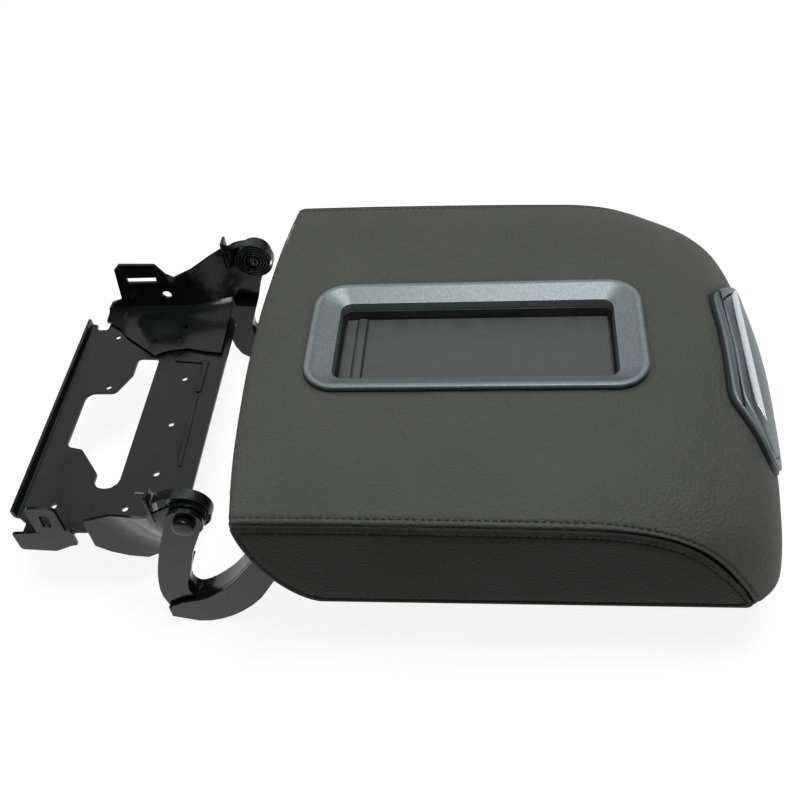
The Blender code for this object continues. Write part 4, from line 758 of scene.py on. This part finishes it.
# Each ring's inset from the panel's outline and its height off the seam, in mm
PANEL_RINGS = [(4.2, -7), (3.8, -4), (2.9, -1.9), (2.1, -0.5), (1.3, 0.3), (0.9, 0.9), (0.9, 1.5),
               (1.4, 2.1), (2.2, 2.55), (3.2, 2.8), (4.4, 2.85), (5.4, 2.6), (6.0, 2.2),
               (6.6, 2.4), (7.6, 2.8), (9.2, 3.05), (11.5, 3.15), (14.5, 3.2), (18, 3.2)]
PANEL_STITCH_RING = 12
PANEL_STITCH_INSET = PANEL_RINGS[PANEL_STITCH_RING][0]
PANEL_PUCKER = 0.3
PANEL_PUCKER_REACH = 1.5
PANEL_POINTS = 559
PANEL_WALL = 2.5 * MM
LEAN = 0.004                 # the cheek leans out by this share of its height
# Painted shade: the side panels are the top cover's leather, but their colour is written far
# darker than the top's, for the little light that falls on the upright cheeks.
side_leather_painted_shade = leather_material("side_leather_painted_shade", (0.032, 0.0333, 0.0305),
                                (0.04, 0.0415, 0.038), 0.1)
outline = seam_section[HEM_ROWS:-UNDER_ROWS]
bottom = np.linspace(outline[-1], outline[0], 60)[1:-1]
outline = np.vstack([outline, bottom])
length_round = distance_along(outline)
even = np.linspace(0, length_round[-1], PANEL_POINTS + 1)[:-1]
outline = np.column_stack([np.interp(even, length_round, outline[:, axis]) for axis in (0, 1)])
outline_mid = (outline.max(axis=0) + outline.min(axis=0)) / 2
outline_half = (outline.max(axis=0) - outline.min(axis=0)) / 2
panel_rows = {}
for end, side in (("near", -1), ("far", 1)):
    rings = []
    for inset, outward in PANEL_RINGS:
        x, z = (outline_mid + (outline - outline_mid) * (1 - inset * MM / outline_half)).T
        from_row = min(abs(inset - PANEL_STITCH_INSET) / PANEL_PUCKER_REACH, 1)
        dip = PANEL_PUCKER * (np.cos(2 * math.pi * even / STITCH_PITCH) - 1) * (1 - from_row)
        y = HALF_WIDTH + (outward + dip) * MM - LEAN * np.minimum(z, 0)
        rings.append(np.column_stack([x, side * y, z]))
    panel_rows[end] = rings[PANEL_STITCH_RING] + np.array(lid_origin)
    shape = lofted(rings, cap_last=True)
    cap = max(shape.faces, key=lambda item: len(item.verts))
    if cap.normal.y * side < 0:
        bmesh.ops.reverse_faces(shape, faces=shape.faces)
    panel = finish_piece(end + "_leather_panel", shape, side_leather_painted_shade, "lid",
                         [end + "_side_panel"], crease=SOFT_CREASE, wall=PANEL_WALL)


# Stitching: two rows of black bonded thread along each seam, one through the top cover and one
# through the side panel, one stitch to each 5 mm.

thread, shader = new_material("thread", (0.006, 0.006, 0.007), 0.42)
where = object_coordinates(thread)
twist = add_node(thread, "ShaderNodeTexWave", [("Vector", where)], Scale=900, Distortion=2.0)
roughen(thread, shader, twist.outputs["Fac"], 0.5, 0.0002)
tint(thread, shader, twist.outputs["Fac"], (0.004, 0.004, 0.0045), (0.012, 0.012, 0.013))
STITCH_LENGTH = 3.7 * MM
THREAD_R = 0.42 * MM
THREAD_PROUD = 0.15 * MM
BARE_END_ROWS = 8            # the rows stop this short of the cover's hems
BARE_FOOT = 8 * MM           # and this short of the panel's foot


def stitch_row(name, points, outward):
    """Sew one row of stitches along a line of points on the leather."""
    run = distance_along(points)
    shape = bmesh.new()
    for number in range(int(run[-1] / STITCH_PITCH)):
        at = (number + 0.5) * STITCH_PITCH
        ends = [Vector([np.interp(at + half, run, points[:, axis]) for axis in range(3)])
                for half in (-STITCH_LENGTH / 2, STITCH_LENGTH / 2)]
        out = Vector([np.interp(at, run, outward[:, axis]) for axis in range(3)]).normalized()
        along = (ends[1] - ends[0]).normalized()
        middle = (ends[0] + ends[1]) / 2 + out * THREAD_PROUD
        made = bmesh.ops.create_uvsphere(shape, u_segments=8, v_segments=5, radius=THREAD_R)
        beside = out.cross(along).normalized()
        turn = Matrix((beside, out, along)).transposed().to_4x4()
        stretch = Matrix.Diagonal((1, 1, STITCH_LENGTH / 2 / THREAD_R, 1))
        bmesh.ops.transform(shape, matrix=Matrix.Translation(middle) @ turn @ stretch,
                            verts=made["verts"])
    finish_piece(name, shape, thread, "lid", crease=SOFT_CREASE)


far_column = int(np.argmin(np.abs(across - (HALF_WIDTH - STITCH_INBOARD * MM))))
sewn_rows = slice(BARE_END_ROWS, -BARE_END_ROWS)
for end, side, column in (("near", -1, len(across) - 1 - far_column), ("far", 1, far_column)):
    stitch_row(end + "_upper_stitches", dressed[sewn_rows, column] + np.array(lid_origin),
               normals[sewn_rows, column])
    sewn = panel_rows[end]
    keep = np.flatnonzero(sewn[:, 2] - lid_origin.z > -LID_DEPTH + BARE_FOOT)
    breaks = np.flatnonzero(np.diff(keep) > 1) + 1
    keep = np.roll(keep, -breaks[0]) if len(breaks) else keep
    stitch_row(end + "_lower_stitches", sewn[keep], np.array([(0, side, 0.25)] * len(keep)))


# Tray bezel: an injection-moulded funnel in blue-gray metallic paint. It snaps down through the
# leather and holds it round the tray's opening.

silver_paint, shader = new_material("silver_paint", (0.2, 0.238, 0.25), 0.46, 0.55)
where = object_coordinates(silver_paint)
flakes = add_node(silver_paint, "ShaderNodeTexVoronoi", [("Vector", where)], Scale=2600)
flake_bump = add_node(silver_paint, "ShaderNodeTexNoise", [("Vector", where)], Scale=2200,
                      Detail=2)
tint(silver_paint, shader, flakes.outputs["Color"], (0.15, 0.182, 0.194), (0.26, 0.303, 0.315))
roughen(silver_paint, shader, flake_bump.outputs["Fac"], 0.12, 0.0001)


def rounded_ring(half_x, half_y, corner, height):
    """A rounded rectangle of points round the tray's middle."""
    ring = []
    for quarter, (sign_x, sign_y) in enumerate(((1, 1), (-1, 1), (-1, -1), (1, -1))):
        for step in range(CORNER_STEPS + 1):
            turn = math.pi / 2 * (quarter + step / CORNER_STEPS)
            ring.append(Vector((
                rim_middle.x + sign_x * (half_x - corner) + corner * math.cos(turn),
                sign_y * (half_y - corner) + corner * math.sin(turn), height)))
    return ring


CORNER_STEPS = 14
RIM_Z = rim_high.z
INNER_X, INNER_Y = rim_half.x - 19.9 * MM, rim_half.y - 15.6 * MM
INNER_CORNER = 8 * MM
INNER_Z = RIM_Z - 7 * MM
THROAT_Z = INNER_Z - 6.6 * MM
RIM_PROFILE = [(0.9, -4.6), (0.25, -3.4), (0, -1.8), (0.1, -1.0), (0.45, -0.45),
               (1.0, -0.12), (1.7, 0), (3.3, -0.05), (4.2, -0.22), (4.8, -0.6)]
bezel_rings = [rounded_ring(rim_half.x - inset * MM, rim_half.y - inset * MM,
                            RIM_CORNER - inset * MM, RIM_Z + height * MM)
               for inset, height in RIM_PROFILE]
high = bezel_rings[-1]
low = rounded_ring(INNER_X, INNER_Y, INNER_CORNER, INNER_Z)
for share in (0.25, 0.5, 0.75, 0.93, 0.985):
    bezel_rings.append([a + (b - a) * share for a, b in zip(high, low)])
for outset, corner_more, height in (
        (0.15, 0, INNER_Z - 0.35 * MM), (0, 0, INNER_Z - 1 * MM), (0, 0, THROAT_Z),
        (2, 2, THROAT_Z), (2, 2, INNER_Z - 2 * MM)):
    bezel_rings.append(rounded_ring(INNER_X + outset * MM, INNER_Y + outset * MM,
                                    INNER_CORNER + corner_more * MM, height))
bezel_rings.append(rounded_ring(rim_half.x - 7 * MM, rim_half.y - 7 * MM, RIM_CORNER - 7 * MM,
                                RIM_Z - 4.6 * MM))
finish_piece("painted_bezel", lofted(bezel_rings, close=True), silver_paint, "lid",
             ["tray_bezel"], crease=40)


# Phone tray: a black moulded pan clipped up under the bezel.

TRAY_X, TRAY_Y = INNER_X - 0.6 * MM, INNER_Y - 0.6 * MM
TRAY_TOP = THROAT_Z - 0.3 * MM
TRAY_DEPTH = 8.4
TRAY_WALL = 2
# Each ring's outset from the tray's inside, its corner's radius and its height, in mm
TRAY_PROFILE = [(2, 9, -TRAY_WALL - TRAY_DEPTH), (2, 9, -TRAY_WALL), (7, 14, -TRAY_WALL),
                (7, 14, 0), (0.5, 7.5, 0), (0.1, 7.1, -0.2), (0, 7, -0.6),
                (-0.75, 7, 1.2 - TRAY_DEPTH), (-1.1, 6.7, 0.3 - TRAY_DEPTH),
                (-2, 6, -TRAY_DEPTH)]
tray_rings = [rounded_ring(TRAY_X + outset * MM, TRAY_Y + outset * MM, corner * MM,
                           TRAY_TOP + height * MM) for outset, corner, height in TRAY_PROFILE]
finish_piece("tray_pan", lofted(tray_rings, cap_first=True, cap_last=True), black_plastic,
             "lid", ["phone_tray"], crease=40)


# Tray mats: pressed rubber with a diamond knurl, dropped in on both sides of the moulded rib.

KNURL_PITCH = 1.8 * MM
KNURL_RISE = 0.6 * MM
MAT_GAP = 0.25 * MM          # round the mat's edge
for name in ("tray_mat_small", "tray_mat_large"):
    low, high = (Vector(corner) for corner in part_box(name))
    columns = round((high.x - low.x) / KNURL_PITCH)
    ranks = round((high.y - low.y) / KNURL_PITCH)
    shape = bmesh.new()
    bmesh.ops.create_grid(shape, x_segments=columns, y_segments=ranks, size=0.5)
    middle = (low + high) / 2
    for vert in shape.verts:
        column = round((vert.co.x + 0.5) * columns)
        rank = round((vert.co.y + 0.5) * ranks)
        at_rim = min(column, columns - column, rank, ranks - rank) < 1
        rise = KNURL_RISE if (column + rank) % 2 and not at_rim else 0
        vert.co = Vector((middle.x + vert.co.x * (high.x - low.x - 2 * MAT_GAP),
                          middle.y + vert.co.y * (high.y - low.y - 2 * MAT_GAP),
                          high.z + rise))
    rim_edges = [edge for edge in shape.edges if len(edge.link_faces) == 1]
    grown = bmesh.ops.extrude_edge_only(shape, edges=rim_edges)["geom"]
    for item in grown:
        if isinstance(item, bmesh.types.BMVert):
            item.co.z = low.z
    base_edges = [item for item in grown if isinstance(item, bmesh.types.BMEdge)
                  and all(vert in grown for vert in item.verts)]
    bmesh.ops.contextual_create(shape, geom=base_edges)
    bmesh.ops.recalc_face_normals(shape, faces=shape.faces)
    finish_piece(name + "_knurled", shape, rubber, "lid", [name], crease=25)

finish_node("tray_divider", "tray_rib", rubber, "lid", 0.25 * MM, 30)


# Latch: a painted frame let into the front face over a black housing, a painted handle that
# turns on a steel pin, and a bright trim strip across the handle. A black band round the frame
# is painted shade: it stands for the shadow gap between the leather and the frame.

# Each ring's inset from the latch's outline, and how far it stands off the front face, in mm
FRAME_PROFILE = [(0, -7), (0, 1.2), (0.12, 2.1), (0.5, 2.75), (1.2, 3.0), (3, 2.85),
                 (4.8, 2.45), (5.6, 2.1), (6.0, 1.6), (6.2, 0.9), (6.2, -7)]
HANDLE_PROFILE = [(30, -6.2), (15, -6.2), (7.4, -6.2), (7.4, 0.4), (7.55, 1.2), (8.0, 1.9),
                  (8.8, 2.35), (10, 2.55), (12, 2.6), (15, 2.6), (19, 2.6), (23, 2.6),
                  (27, 2.6), (31, 2.6), (35, 2.6)]
# Painted shade: a black band just outside the frame's outline, in place of the shadow gap round
# the frame; each ring's inset from the latch's outline and how far it stands off the front face,
# in mm
SHADOW_GAP_PROFILE = [(-0.15, 0.9), (-1.0, 1.0), (-1.9, 0.7), (-2.1, -0.2), (-2.1, -3), (-0.15, -3)]
FINGER_GAP = 8 * MM
frame_rings = [latch_ring(inset * MM, proud * MM) for inset, proud in FRAME_PROFILE]
finish_piece("latch_surround", lofted(frame_rings, close=True), silver_paint, "lid",
             ["latch_frame"], crease=40)

handle_rings = [latch_ring(inset * MM, proud * MM, FINGER_GAP)
                for inset, proud in HANDLE_PROFILE]
finish_piece("latch_lever", lofted(handle_rings, cap_first=True, cap_last=True), silver_paint,
             "handle", ["latch_handle"], crease=40)

bright_metal, shader = new_material("bright_trim", (0.72, 0.76, 0.8), 0.22, 1.0)
where = object_coordinates(bright_metal)
brushing = add_node(bright_metal, "ShaderNodeTexNoise", [("Vector", where)], Scale=500, Detail=2)
vary(bright_metal, shader, brushing.outputs["Fac"], "Roughness", 0.18, 0.28)
tint(bright_metal, shader, brushing.outputs["Fac"], (0.68, 0.72, 0.77), (0.76, 0.8, 0.84))
roughen(bright_metal, shader, brushing.outputs["Fac"], 0.06, 0.0001)
finish_node("bright_strip", "latch_bright_strip", bright_metal, "handle",
            0.2 * MM)
# Painted shade: a band of black plastic round the frame stands for the shadow gap between the
# leather and the frame
shadow_gap_rings = [latch_ring(inset * MM, proud * MM) for inset, proud in SHADOW_GAP_PROFILE]
finish_piece("latch_painted_shadow_gap", lofted(shadow_gap_rings, close=True), black_plastic, "lid",
             crease=40)
finish_node("latch_back", "latch_housing", black_plastic, "lid")
finish_node("lever_pin", "latch_handle_pin", coated_steel, "lid", crease=40)


# Studio: a white floor, one large soft light behind and a smaller one over the near side.

FLOOR_HALF = 6
FLOOR_GAP = 0.5 * MM
FLOOR_GLOW, FLOOR_SHADE, FLOOR_BOUNCE = 0.88, 0.24, 0.16
shape = bmesh.new()
bmesh.ops.create_grid(shape, x_segments=1, y_segments=1, size=FLOOR_HALF)
mesh = bpy.data.meshes.new("floor")
shape.to_mesh(mesh)
shape.free()
floor = bpy.data.objects.new("floor", mesh)
floor.location.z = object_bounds()[0][2] - FLOOR_GAP
bpy.context.scene.collection.objects.link(floor)

# White to the camera and in reflections, with the object's shadow; dull to all other light
floor_white = bpy.data.materials.new("floor")
floor_white.use_nodes = True
floor_white.node_tree.nodes.clear()
path = add_node(floor_white, "ShaderNodeLightPath")
seen = add_node(floor_white, "ShaderNodeMath", [(0, path.outputs["Is Camera Ray"]),
                                                (1, path.outputs["Is Glossy Ray"])],
                operation="MAXIMUM")
seen_too = add_node(floor_white, "ShaderNodeMath", [(0, seen.outputs["Value"]),
                                                    (1, path.outputs["Is Transmission Ray"])],
                    operation="MAXIMUM")
glow = add_node(floor_white, "ShaderNodeEmission", Color=(1, 1, 1, 1), Strength=FLOOR_GLOW)
white, dull = (add_node(floor_white, "ShaderNodeBsdfDiffuse", Color=(shade, shade, shade, 1))
               for shade in (FLOOR_SHADE, FLOOR_BOUNCE))
both = add_node(floor_white, "ShaderNodeAddShader", [(0, glow.outputs["Emission"]),
                                                     (1, white.outputs["BSDF"])])
mix = add_node(floor_white, "ShaderNodeMixShader", [("Fac", seen_too.outputs["Value"]),
                                                    (1, dull.outputs["BSDF"]),
                                                    (2, both.outputs["Shader"])])
add_node(floor_white, "ShaderNodeOutputMaterial", [("Surface", mix.outputs["Shader"])])
mesh.materials.append(floor_white)


def area_light(name, place, size, watts, look_at):
    """A soft rectangular light that faces a point."""
    data = bpy.data.lights.new(name, "AREA")
    data.shape = "RECTANGLE"
    data.size, data.size_y = size
    data.energy = watts
    light = bpy.data.objects.new(name, data)
    light.location = place
    light.rotation_euler = (look_at - light.location).to_track_quat("-Z", "Y").to_euler()
    bpy.context.scene.collection.objects.link(light)


WORLD_LIGHT = 0.1
target = lid_origin + Vector((0.12, 0, -0.03))
area_light("back_light", target + Vector((-0.2, 1.2, 1.32)), (2.0, 1.6), 9, target)
area_light("key_light", target + Vector((0.2, -0.12, 1.6)), (0.8, 0.6), 16.5, target)

world = bpy.data.worlds.new("world")
world.use_nodes = True
background = world.node_tree.nodes["Background"]
background.inputs["Color"].default_value = (1, 1, 1, 1)
background.inputs["Strength"].default_value = WORLD_LIGHT
bpy.context.scene.world = world
bpy.context.scene.view_settings.view_transform = "Standard"
